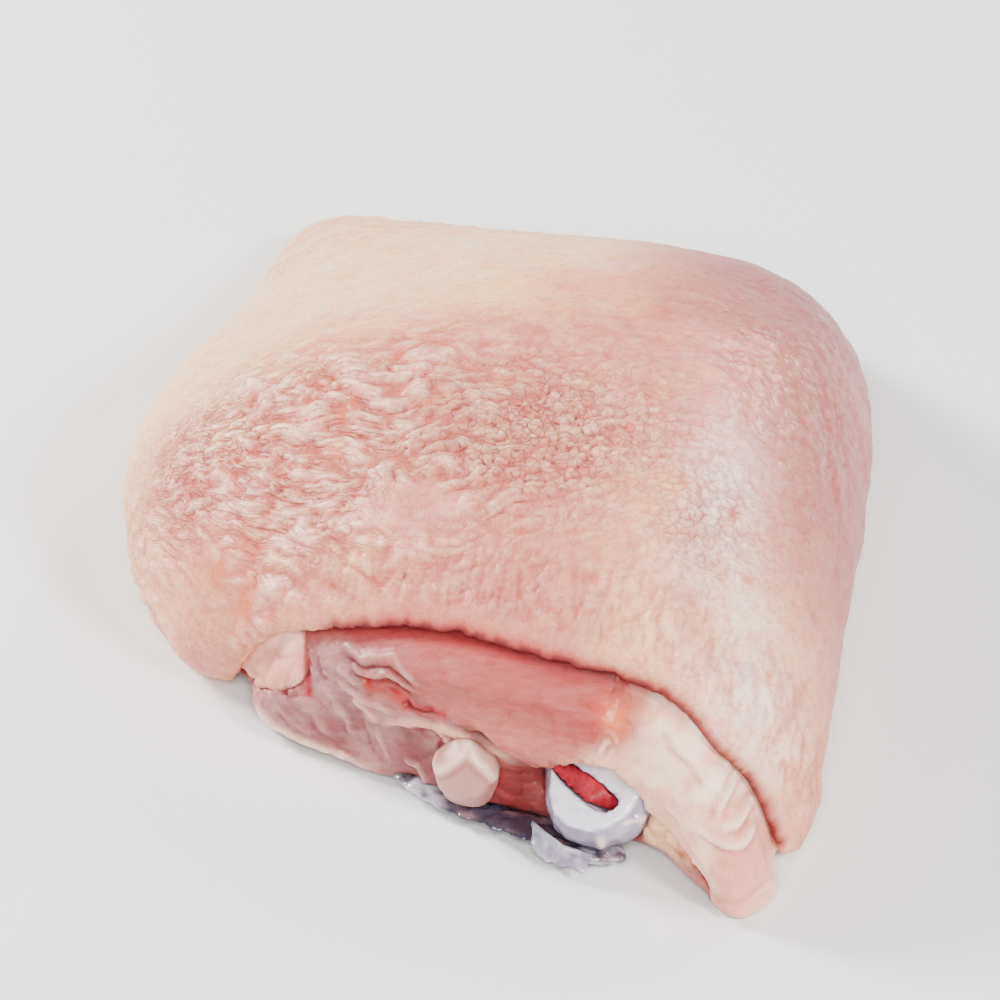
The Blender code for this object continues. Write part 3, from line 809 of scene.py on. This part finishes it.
GROOVES = (  # grooves and slits painted dark, plum for painted shade in the folds and blood for stained slits that also hold painted shade: width, depth, colour, places along X and up
    (0.26, 0.5, BLOOD, (
        (-14.6, 17.6), (-12.0, 17.2), (-10.2, 18.3), (-8.0, 19.1), (-6.2, 18.7), (-4.2, 17.5),
    )),
    (0.26, 0.5, BLOOD, (
        (-14.0, 16.2), (-11.6, 15.5), (-10.0, 16.3), (-8.1, 17.4), (-6.2, 17.2), (-4.4, 16.2),
    )),
    (1.6, 0.7, FRESH_BLOOD, ((-12.4, 14.8), (-8.8, 15.6), (-6.9, 15.4), (-4.4, 15.0))),
    (0.9, 0.7, CRIMSON, ((-6.8, 15.3), (-5.0, 14.9), (-3.2, 15.2), (-1.6, 15.8), (1.0, 16.0))),
    (0.3, 0.4, BLOOD, ((-6.4, 14.7), (-4.8, 14.5), (-3.0, 14.8), (-1.4, 15.4))),
    (0.32, 0.5, PLUM, ((-7.3, 10.2), (-4.4, 11.6), (-2.0, 12.4), (-0.6, 11.8), (-0.9, 9.4), (-0.9, 7.0))),
    (0.8, 0.7, CRIMSON, ((-19.5, 15.3), (-20.1, 13.9), (-20.3, 12.4), (-19.8, 11.1), (-19.2, 8.7))),
    (0.35, 0.4, FRESH_BLOOD, ((-16.0, 3.6), (-14.3, 2.7), (-12.6, 2.2), (-10.2, 2.0), (-8.1, 1.9))),
    (0.5, 0.3, PLUM, ((-18.4, 16.4), (-17.8, 14.2), (-16.4, 12.8))),
    (0.45, 0.4, PLUM, ((-24.5, 9.2), (-22.6, 8.6), (-20.9, 9.4))),
    (0.4, 0.2, PLUM, ((-12.2, 9.4), (-11.0, 7.0), (-10.4, 4.0))),
    (0.5, 0.2, PLUM, ((-19.6, 6.2), (-17.4, 4.4), (-15.0, 3.4))),
    (0.4, 0.6, BLOOD, ((1.4, 15.2), (5.4, 14.0), (8.6, 12.9), (12.6, 11.4))),
)
TOWARDS_EYE = np.array((0.1, -0.75, 0.65))
GLOSSY_BULGE = np.array((9.2, -54.0, 6.6))  # dark red bulge at the left of the bone
FLAME = np.array((22.2, -54.6, 21.0))  # orange-red spot where the muscle meets the fat pad
FOOT_RIM = (  # white edge of the film under the meat
    (-28.6, -39.2, 4.6),
    (-25.6, -41.5, 3.0),
    (-21.6, -43.7, 2.5),
    (-16.7, -45.9, 2.2),
    (-12.4, -47.8, 1.9),
    (-8.0, -49.8, 1.6),
)


def meat_face(points):
    """How much each point belongs to the cut face, and how far above the upper muscle's foot it is."""
    x, y, z = points.T
    on_face = smooth_step(-y - 0.35 * x, 26.0, 34.0)
    return on_face, z - np.interp(x, *np.array(MUSCLE_FOOT).T)


def join_cream(points):
    """0 on the red muscle to 1 on the cream fat beside it, alike on all the pieces that meet there."""
    x, _y, z = points.T
    return smooth_step(x - 1.28 * (z - 13.0) - 13.5 + 1.2 * rough_noise(points, 3.0, 94), -1.5, 4.5)


def lay_flame(coat, points):
    """Orange-red spot, alike on all the pieces that meet there."""
    coat.lay(FRESH_BLOOD, 0.7 * blob(points, FLAME, (4.4, 7.0, 3.2)))
    coat.lay(BLISTER, 0.8 * blob(points, FLAME, (2.2, 6.0, 1.6)))


def face_drift(points):
    """Wandering of the cut face's lines, and with it each point's place on the face."""
    drift = drift_noise(points, 4.0, (54, 56, 57))
    return drift, (points + 0.35 * drift)[:, (0, 2)]


def meat_relief(points, on_face, above_foot):
    """Height of fibres, folds, slits and bulges on the cut face."""
    x = points[:, 0]
    upper = smooth_step(above_foot, -0.8, 1.0)
    fibres = rough_noise(points, (4.0, 1.8, 1.8), 52)
    height = 0.3 * noise(points, 7.0, 51) + 0.18 * fibres * (1.0 - 0.7 * upper)
    height += 0.1 * noise(points, (7.0, 1.5, 1.1), 53) * upper
    drift, face = face_drift(points)
    crumple = billow(noise(points + 1.2 * drift, (5.0, 5.0, 2.6), 55))
    left = smooth_step(8.0 - x, 0.0, 6.0)
    height += (0.55 * crumple - 0.2) * (1.0 - upper) * left * smooth_step(x, -20.0, -14.0)
    height += 0.3 * billow(noise(points + drift, (2.4, 2.4, 1.5), 58)) * (1.0 - upper) * left
    for width, rise, places in FOLDS:
        height += 0.9 * rise * ridge(face, places, width)
    for width, depth, _colour, places in GROOVES:
        height -= min(depth, DEEPEST_GROOVE) * ridge(face, places, width)
    groove = bell(above_foot + 0.5, 0.7) * smooth_step(x, 1.0, 6.0)
    height -= groove * smooth_step(17.0 - x, 0.0, 5.0)
    middle = smooth_step(x, 0.0, 8.0) * smooth_step(20.0 - x, 0.0, 9.0)
    height += 0.9 * upper * middle * smooth_step(6.5 - above_foot, 0.0, 5.0)
    height += 1.3 * blob(points, GLOSSY_BULGE, (3.0, 6.0, 3.2))
    height += 0.5 * ridge(points, FOOT_RIM, 0.6)
    return height * on_face


def meat_coat(points, on_face, above_foot, blood_and_shade_under_lip):
    """Painted colours of the meat, with painted shade under the skin's lip, in the grooves, beside the
    nodule and towards the lip, and painted light on the upper muscle's middle.
    """
    x = points[:, 0]
    mottled = rough_noise(points, 7.0, 61)
    fine = rough_noise(points, (3.0, 1.8, 1.4), 62)
    _drift, face = face_drift(points)
    coat = Coat(points, MUSCLE)
    upper = smooth_step(above_foot, -0.8, 0.8)
    lilac = smooth_step(-x + 4.0 * mottled, 2.0, 16.0)
    coat.lay(MUSCLE_LILAC, np.maximum(0.35 * lilac, 0.85 * (1.0 - upper)))
    # Painted light on the upper muscle's middle, and painted shade making it darker towards the lip
    coat.lay(PALE_PINK, 0.5 * upper * blob(points, (9.0, -53.0, 14.5), (13.0, 9.0, 3.4)))
    coat.lay(ROSE, 0.3 * upper * smooth_step(above_foot, 3.0, 8.0))
    film = smooth_step(mottled + 0.4 * fine, -0.7, 0.7) * (1.0 - upper) * smooth_step(6.0 - x, 0.0, 6.0)
    coat.lay(FILM, 0.5 * film)
    # Painted shade in the recess left of the nodule
    coat.lay(PLUM, 0.8 * blob(points, (-5.6, -50.0, 5.4), (4.8, 6.0, 4.0)))
    coat.lay(BLOOD, 0.5 * blob(points, (-3.4, -50.4, 7.0), (3.0, 6.0, 4.0)))
    coat.lay(ROSE, 0.3 * smooth_step(fine, 0.1, 0.8) * upper)
    coat.lay(FAT, 0.9 * join_cream(points) * upper * smooth_step(x, 8.0, 13.0))
    lay_flame(coat, points)
    # Deep red just under the skin's lip: partly blood, partly painted shade
    coat.lay(FRESH_BLOOD, 0.7 * blood_and_shade_under_lip)
    coat.lay(BLOOD, 0.8 * blood_and_shade_under_lip ** 4)
    deep = blob(points, GLOSSY_BULGE, (4.6, 7.0, 4.8))
    coat.lay(FRESH_BLOOD, 0.7 * deep)
    coat.lay(BLOOD, 0.9 * deep * smooth_step(fine, -1.0, 0.3))
    coat.lay(FAT, 0.7 * blob(points, (6.6, -53.8, 11.6), (2.6, 5.0, 1.5)))
    beside_bone = blob(points, (30.0, -61.2, 7.0), (3.8, 6.0, 4.4))
    coat.lay(CREAM, 0.9 * smooth_step(beside_bone, 0.1, 0.5))
    coat.lay(SALMON, 0.4 * beside_bone * smooth_step(fine, -0.2, 0.5))
    coat.lay(PALE_PINK, 0.8 * blob(points, (33.0, -62.6, 2.2), (4.0, 6.0, 1.4)))
    for spot in ((32.0, -62.3, 5.1), (33.1, -63.5, 6.8), (33.9, -64.0, 5.0), (36.0, -66.0, 3.6)):
        coat.lay(FRESH_BLOOD, 0.9 * blob(points, spot, (0.9, 2.0, 0.8)))
    for width, rise, places in FOLDS:
        light = FAT if width > 0.6 else FILM_LIGHT
        coat.lay(light, min(0.9, 1.3 * rise) * ridge(face, places, width))
    # Painted shade in the grooves, and blood darkened by painted shade in the slits
    for width, depth, shade, places in GROOVES:
        coat.lay(shade, min(0.95, 0.45 + 0.8 * depth) * ridge(face, places, width))
    coat.lay(FAT_WHITE, ridge(points, FOOT_RIM, 0.8))
    coat.lay(MUSCLE, 0.6 * (1.0 - on_face))
    return coat


def make_meat():
    """The meat: smooth upper muscle, crumpled membranes below it, a glossy bulge by the bone."""
    item = soft_copy("meat", FLESH_VOXEL, 5)
    for _round in range(2):
        points, normals = read_points(item)
        on_face, _above = meat_face(points)
        bare = node_distances(item, "skin") > 0.8
        refine(item, (on_face > 0.5) & bare & (normals @ TOWARDS_EYE > 0.1))
        smooth(item, 2)
    points, _normals = read_points(item)
    on_face, above_foot = meat_face(points)
    from_skin = node_distances(item, "skin")
    exposed = smooth_step(from_skin, 0.5, 2.2)
    blood_and_shade_under_lip = bell(from_skin - 0.4, 1.4) * on_face
    off_floor = smooth_step(points[:, 2], 0.2, 2.0)
    displace(item, (meat_relief(points, on_face, above_foot) * exposed + 0.15) * off_floor)
    wet = 0.65 + 0.2 * noise(points, 6.0, 71) - 0.45 * smooth_step(above_foot, -0.5, 1.0)
    coat = meat_coat(points, on_face, above_foot, blood_and_shade_under_lip)
    paint(item, coat.colours, wet * smooth_step(coat.colours[:, 0], 0.1, 0.4))
    finish_piece(item, meat_material(), "meat", "meat")
    return item


# ---------- fat

PAD_FOLDS = (  # folds on the fat pad: width, rise, places along X and up
    (0.6, 0.7, ((35.2, 14.4), (35.6, 16.2), (36.6, 17.5), (38.4, 18.4))),
    (0.5, 0.7, ((36.8, 14.6), (37.2, 16.0), (38.4, 16.6))),
    (0.5, 0.7, ((38.6, 15.0), (39.8, 14.2), (41.4, 14.0))),
    (0.5, 0.6, ((37.0, 13.4), (38.8, 12.6), (40.6, 12.9))),
    (0.45, 0.5, ((34.0, 12.0), (36.0, 11.2), (38.6, 10.8), (41.2, 10.6))),
    (0.7, 0.5, ((27.5, 21.5), (30.0, 19.6), (32.5, 18.4), (34.0, 16.4))),
    (0.5, 0.6, ((29.5, 13.0), (32.4, 9.6), (35.2, 6.6), (38.2, 2.6))),
    (0.4, 0.4, ((33.6, 6.8), (35.6, 4.8), (37.4, 2.6))),
)


def make_fat(node, grow, rounds, finish):
    """A lump of fat, evened out, swollen a little into its gap, and finished by a function."""
    item = soft_copy(node, FAT_VOXEL, rounds)
    points, _normals = read_points(item)
    exposed = smooth_step(node_distances(item, "skin"), 0.5, 2.2)
    off_floor = smooth_step(points[:, 2], 0.2, 2.0)
    height = 0.3 * noise(points, 6.0, 81) + 0.12 * rough_noise(points, 2.4, 82)
    extra, coat = finish(points)
    displace(item, ((height + extra) * exposed + grow) * off_floor)
    paint(item, coat.colours, 0.6 + 0.25 * noise(points, 5.0, 83))
    finish_piece(item, fat_material(), "fat", node)
    return item


def pad_finish(points):
    """Folds and colours of the fat pad at the front right."""
    x, _y, z = points.T
    fine = rough_noise(points, 3.0, 94)
    height = np.zeros(len(points))
    coat = Coat(points, FAT)
    coat.lay(FAT_WHITE, patches(points, 5.0, 91, -0.4, 0.5) * 0.9)
    tip = smooth_step(x - z + 2.0 * fine, 22.0, 32.0)
    coat.lay(PALE_PINK, 0.8 * tip)
    coat.lay(FAT_WHITE, 0.7 * smooth_step(x - z + fine, 36.0, 43.0))
    stripes = noise(points + 1.5 * noise(points, 6.0, 95)[:, None], (8.0, 8.0, 1.4), 92)
    height += 0.24 * stripes * tip
    coat.lay(ROSE, 0.35 * tip * smooth_step(-stripes, 0.0, 0.7))
    coat.lay(MUSCLE, 0.8 * (1.0 - join_cream(points)) * smooth_step(31.0 - x, 0.0, 5.0))
    lay_flame(coat, points)
    low = smooth_step(12.0 + 0.7 * (26.0 - x) - z + fine, 0.0, 2.5) * smooth_step(37.0 - x, 0.0, 3.0)
    coat.lay(YOLK, 0.5 * low)
    face = (points + 0.3 * noise(points, 4.0, 95)[:, None])[:, (0, 2)]
    for width, rise, places in PAD_FOLDS:
        height += rise * ridge(face, places, width)
        coat.lay(FAT_WHITE, 0.8 * ridge(face, places, width))
        # A groove under each fold, painted rose as shade
        below = np.array(places) + (0.5, -0.8)
        height -= 0.4 * ridge(face, below, width * 0.7)
        coat.lay(ROSE, 0.5 * ridge(face, below, width * 0.6))
    coat.lay(ROSE, 0.6 * blob(points, (39.6, -62.0, 14.4), (1.6, 3.0, 0.8)))
    return height, coat


def end_finish(points):
    """Lobes and colours of the fat at the left end of the cut face, with painted shade between the lobes."""
    drifting = points + noise(points, 4.0, 104)[:, None]
    lobes = billow(noise(drifting, (3.6, 3.6, 6.0), 101))
    coat = Coat(points, PALE_PINK)
    coat.lay(FAT, 0.2 + 0.4 * patches(points, 6.0, 103, -0.6, 0.5))
    coat.lay(FAT_WHITE, 0.5 * blob(points, (-22.5, -40.0, 15.5), (3.0, 6.0, 3.0)))
    # Painted shade between the lobes
    coat.lay(ROSE, 0.5 * bell(lobes, 0.12))
    coat.lay(FRESH_BLOOD, 0.6 * smooth_step(points[:, 0], -21.4, -19.9))
    return 1.1 * lobes - 0.5, coat


def lump_finish(points):
    """Uneven height and colours of the small nodule."""
    height = 0.5 * noise(points, 3.0, 114)
    coat = Coat(points, PEACH)
    coat.lay(MUSCLE_LILAC, 0.6 * patches(points, 4.0, 112, -0.1, 0.8))
    coat.lay(FAT, 0.3 * blob(points, (0.6, -54.0, 8.0), (2.4, 4.0, 2.4)))
    face = points[:, (0, 2)]
    for places in (((-0.9, 8.5), (1.0, 10.6), (3.4, 13.0)), ((3.4, 12.6), (5.2, 10.8), (6.4, 8.4))):
        height += 0.3 * ridge(face, places, 0.5, 0.05)
        coat.lay(FAT_WHITE, 0.6 * ridge(face, places, 0.4, 0.05))
        # Painted shade just below each white ridge
        coat.lay(PLUM, 0.5 * ridge(face, np.array(places) - (0.0, 1.0), 0.35, 0.05))
    return height, coat


# ---------- bone, marrow and sinew

BONE_CUT_FACING = np.array((-0.16, -0.55, 0.82))
BONE_RIDGES = (  # ridges on the bone's knob: width, height, places
    (0.9, 0.7, ((21.0, -59.6, 8.8), (21.4, -62.5, 7.0), (21.6, -61.8, 3.6))),
    (0.9, 0.6, ((26.8, -60.0, 9.2), (26.2, -61.5, 5.5))),
    (0.6, 0.35, (
        (13.7, -54.5, 10.5), (17.5, -57.4, 9.6), (21.0, -59.6, 8.8), (24.4, -61.3, 8.9), (26.8, -60.1, 9.0),
    )),
)


def make_bone():
    """The bone's knob, with soft ridges and a bluish white film over it, its sides painted in lavender shade
    that darkens towards the floor.
    """
    item = soft_copy("bone", BONE_VOXEL, 2)
    points, normals = read_points(item)
    shown = smooth_step(-points[:, 1], 48.0, 55.0)
    shown *= smooth_step(node_distances(item, "marrow"), 0.6, 2.4)
    height = 0.1 + 0.12 * rough_noise(points, 2.2, 122)
    for width, rise, places in BONE_RIDGES:
        height += rise * ridge(points, places, width, 0.05)
    displace(item, height * shown)
    coat = Coat(points, BONE_WHITE)
    # Painted shade: lavender on the sides turned away from the cut, darker again near the floor
    side = smooth_step(0.9 - normals @ BONE_CUT_FACING, 0.0, 0.25)
    shade = patches(points, 5.0, 123, -0.8, 0.6)
    coat.lay(BONE_SHADE, (0.65 + 0.3 * shade) * side)
    coat.lay(PLUM, 0.25 * side * smooth_step(4.5 - points[:, 2], 0.0, 3.0))
    for width, _rise, places in BONE_RIDGES:
        coat.lay(FAT_WHITE, 0.7 * ridge(points, places, width * 0.6, 0.05))
    paint(item, coat.colours, 0.8)
    finish_piece(item, bone_material(), "bone", "bone")


def make_marrow():
    """Crimson marrow, nearly smooth and wet."""
    item = soft_copy("marrow", FINE_VOXEL, 2)
    points, normals = read_points(item)
    shown = smooth_step(normals @ BONE_CUT_FACING, 0.5, 0.8) * smooth_step(points[:, 2], 8.0, 9.0)
    displace(item, (0.5 + 0.04 * rough_noise(points, 1.8, 131)) * shown)
    coat = Coat(points, BLOOD)
    coat.lay(CRIMSON, 0.5 + patches(points, 2.0, 132, -0.4, 0.6) * 0.4)
    coat.lay(PLUM, smooth_step(points[:, 0], 21.5, 25.0) * 0.5)
    paint(item, coat.colours, 0.5)
    finish_piece(item, marrow_material(), "marrow", "marrow")


def make_sinew():
    """Wet sinew along the foot of the face, painted near-black for its own dark bluish colour and the shade
    there, paler at its ends.
    """
    item = soft_copy("sinew", FINE_VOXEL, 4)
    points, _normals = read_points(item)
    x, _y, z = points.T
    height = 0.9 * billow(noise(points, (3.4, 3.4, 1.8), 141)) + 0.1 * rough_noise(points, 1.4, 142)
    displace(item, (height - 0.35) * smooth_step(z, 0.1, 1.2))
    # Near-black: the sinew's own dark bluish colour and painted shade where the face meets the floor
    coat = Coat(points, SLATE_AND_SHADE)
    coat.lay(FILM, 0.25 * patches(points, (6.0, 3.0, 0.9), 143, 0.0, 0.8))
    ends = np.maximum(smooth_step(-x, -1.0, 2.5), smooth_step(x, 17.5, 21.0))
    coat.lay(BONE_WHITE, 0.8 * ends * patches(points, 3.0, 144, -0.7, 0.4))
    paint(item, coat.colours, 0.95)
    finish_piece(item, film_material(), "sinew", "sinew")


# Upper and lower edge of the torn film in front of the bone's foot
BONE_FILM_TOP = ((12.0, -58.0, 4.4), (14.2, -60.4, 4.6), (16.6, -62.0, 4.2), (20.4, -62.9, 3.8))
BONE_FILM_FOOT = ((11.0, -59.4, 2.4), (13.6, -61.7, 1.9), (17.0, -63.3, 1.8), (21.6, -64.2, 2.2))
SEAM = (  # middle of the film over the join of muscle and fat pad: place, half its width
    ((23.2, -50.5, 24.2), 1.5),
    ((22.7, -52.3, 21.9), 1.8),
    ((22.4, -55.0, 20.4), 2.2),
    ((22.0, -56.5, 17.8), 2.8),
    ((21.7, -57.4, 15.2), 2.6),
    ((21.4, -57.8, 13.4), 1.6),
)


def line_at(line, parts):
    """Points at even parts of a broken line."""
    line = np.asarray(line, float)
    knots = np.linspace(0.0, 1.0, len(line))
    return np.stack([np.interp(parts, knots, line[:, axis]) for axis in range(3)], axis=1)


def close_sheet(name, front, back):
    """Closed thin body from two grids of points, one behind the other."""
    along, across, _axes = front.shape
    count = along * across
    grid = np.arange(count).reshape(along, across)
    corners = (grid[:-1, :-1], grid[:-1, 1:], grid[1:, 1:], grid[1:, :-1])
    quads = np.stack(corners, axis=-1).reshape(-1, 4)
    sides = np.stack([quads, quads[:, ::-1] + count], axis=1).reshape(-1, 4)
    border = np.concatenate([grid[0], grid[1:, -1], grid[-1, -2::-1], grid[-2:0:-1, 0]])
    following = np.roll(border, -1)
    rim = np.stack([following, border, border + count, following + count], axis=1)
    mesh = bpy.data.meshes.new(name)
    places = np.concatenate([front.reshape(-1, 3), back.reshape(-1, 3)]) * MM
    mesh.from_pydata(places.tolist(), [], np.concatenate([sides, rim]).tolist())
    with editing(mesh) as shell:
        bmesh.ops.recalc_face_normals(shell, faces=shell.faces)
    return new_object(name, mesh)


def make_bone_film():
    """Crumpled film that hangs frayed from the bone's foot."""
    across, along = 15, 64
    parts = np.linspace(0.0, 1.0, along)
    top, foot = line_at(BONE_FILM_TOP, parts), line_at(BONE_FILM_FOOT, parts)
    ends = 0.15 + 0.85 * smooth_step(np.minimum(parts, 1.0 - parts), 0.0, 0.2)
    share = np.linspace(0.0, 1.0, across)[None, :, None] * ends[:, None, None]
    frayed = 1.0 + 0.18 * noise(foot, 3.0, 151)[:, None, None]
    sheet = top[:, None] + (foot - top)[:, None] * share * frayed
    flat = sheet.reshape(-1, 3)
    push = drift_noise(flat, 2.2, (152, 153, 154), 2)
    front = sheet + push.reshape(sheet.shape) * np.sqrt(share) * (0.36, 0.9, 0.45)
    front[..., 2] = np.maximum(front[..., 2], 0.6)
    item = close_sheet("bone_film", front, front + (0.0, 0.3, 0.06))
    points, _normals = read_points(item)
    coat = Coat(points, BONE_WHITE)
    coat.lay(BONE_SHADE, 0.55 + 0.4 * patches(points, 2.4, 155, -0.4, 0.5))
    paint(item, coat.colours, 0.9)
    finish_piece(item, film_material(), "sinew")


def make_seam_film(under):
    """Thin folded film, laid from in front over the join of the upper muscle and the fat pad."""
    across, along, bridge, away = 41, 81, 6, 20.0
    parts = np.linspace(0.0, 1.0, along)
    middle = line_at([place for place, _half in SEAM], parts)
    half = np.interp(parts, np.linspace(0.0, 1.0, len(SEAM)), [half for _place, half in SEAM])
    reach = np.linspace(-1.0, 1.0, across)
    eye = TOWARDS_EYE / np.linalg.norm(TOWARDS_EYE)
    half *= 1.0 + 0.45 * noise(middle, 1.6, 163)
    sideways = (half[:, None] * reach)[..., None] * (0.96, -0.28, 0.0)
    start = middle[:, None] + sideways + eye * away
    tree = surface_tree([item.data for item in under])
    hits = [tree.ray_cast(Vector(place * MM), Vector(-eye))[3] for place in start.reshape(-1, 3)]
    depth = np.array([away if hit is None else hit / MM for hit in hits]).reshape(along, across)
    for how in (np.min, np.mean):
        padded = np.pad(depth, ((0, 0), (bridge, bridge)), "edge")
        depth = how([padded[:, step:step + across] for step in range(2 * bridge + 1)], axis=0)
    flat = (start - eye * depth[..., None]).reshape(-1, 3)
    folds = billow(noise(flat + noise(flat, 3.0, 162)[:, None], (1.6, 3.0, 2.6), 161)).reshape(along, across)
    ends = smooth_step(np.minimum(parts, 1.0 - parts), 0.0, 0.15)[:, None]
    cover = ((1.0 - reach ** 2) ** 1.5)[None, :] * ends
    lift = cover * (0.45 + 0.45 * folds) - 0.12
    front = start - eye * (depth - lift)[..., None]
    item = close_sheet("seam_film", front, front - eye * 0.5)
    points, _normals = read_points(item)
    coat = Coat(points, MUSCLE)
    coat.lay(FAT, 0.95 * join_cream(points))
    crest = np.tile((folds * cover).ravel(), 2) * smooth_step(21.5 - points[:, 2], 0.0, 2.5)
    coat.lay(FAT_WHITE, 0.8 * smooth_step(crest, 0.2, 0.5))
    lay_flame(coat, points)
    paint(item, coat.colours, 0.1)
    finish_piece(item, fat_material(), "fat")


# ---------- stage

def make_floor():
    """Plain pale floor."""
    mesh = bpy.data.meshes.new("floor")
    half = 3.0
    corners = [(-half, -half, 0.0), (half, -half, 0.0), (half, half, 0.0), (-half, half, 0.0)]
    mesh.from_pydata(corners, [], [(0, 1, 2, 3)])
    floor = new_object("floor", mesh)
    material = bpy.data.materials.new("floor")
    material.use_nodes = True
    shader = material.node_tree.nodes["Principled BSDF"]
    shader.inputs["Base Color"].default_value = (0.76, 0.75, 0.735, 1.0)
    shader.inputs["Roughness"].default_value = 0.7
    mesh.materials.append(material)


def add_light(name, place, width, power):
    """Soft square light aimed at the thigh."""
    light = bpy.data.lights.new(name, "AREA")
    light.size = width
    light.energy = power
    item = new_object(name, light)
    item.location = place
    item.rotation_euler = (-Vector(place)).to_track_quat("-Z", "Y").to_euler()


def make_studio():
    """Camera, lights and surroundings."""
    camera = bpy.data.cameras.new("camera")
    camera.lens = LENS
    camera.sensor_width = SENSOR_WIDTH
    camera.clip_start = 0.01
    item = new_object("camera", camera)
    eye, aim = Vector(EYE) * MM, Vector(AIM) * MM
    item.location = eye
    item.rotation_euler = (aim - eye).to_track_quat("-Z", "Y").to_euler()
    bpy.context.scene.camera = item

    for name, place, width, power in LIGHTS:
        add_light(name, place, width, power)
    world = bpy.data.worlds.new("surroundings")
    world.use_nodes = True
    background = world.node_tree.nodes["Background"]
    background.inputs["Color"].default_value = (1.0, 0.99, 0.97, 1.0)
    background.inputs["Strength"].default_value = 0.14
    bpy.context.scene.world = world


make_studio()
make_floor()
make_skin()
muscle = make_meat()
fat_pad = make_fat("fat_pad", 0.3, 6, pad_finish)
make_fat("end_fat", 0.55, 14, end_finish)
make_fat("fat_lump", 0.45, 12, lump_finish)
make_bone()
make_marrow()
make_sinew()
make_bone_film()
make_seam_film([muscle, fat_pad])
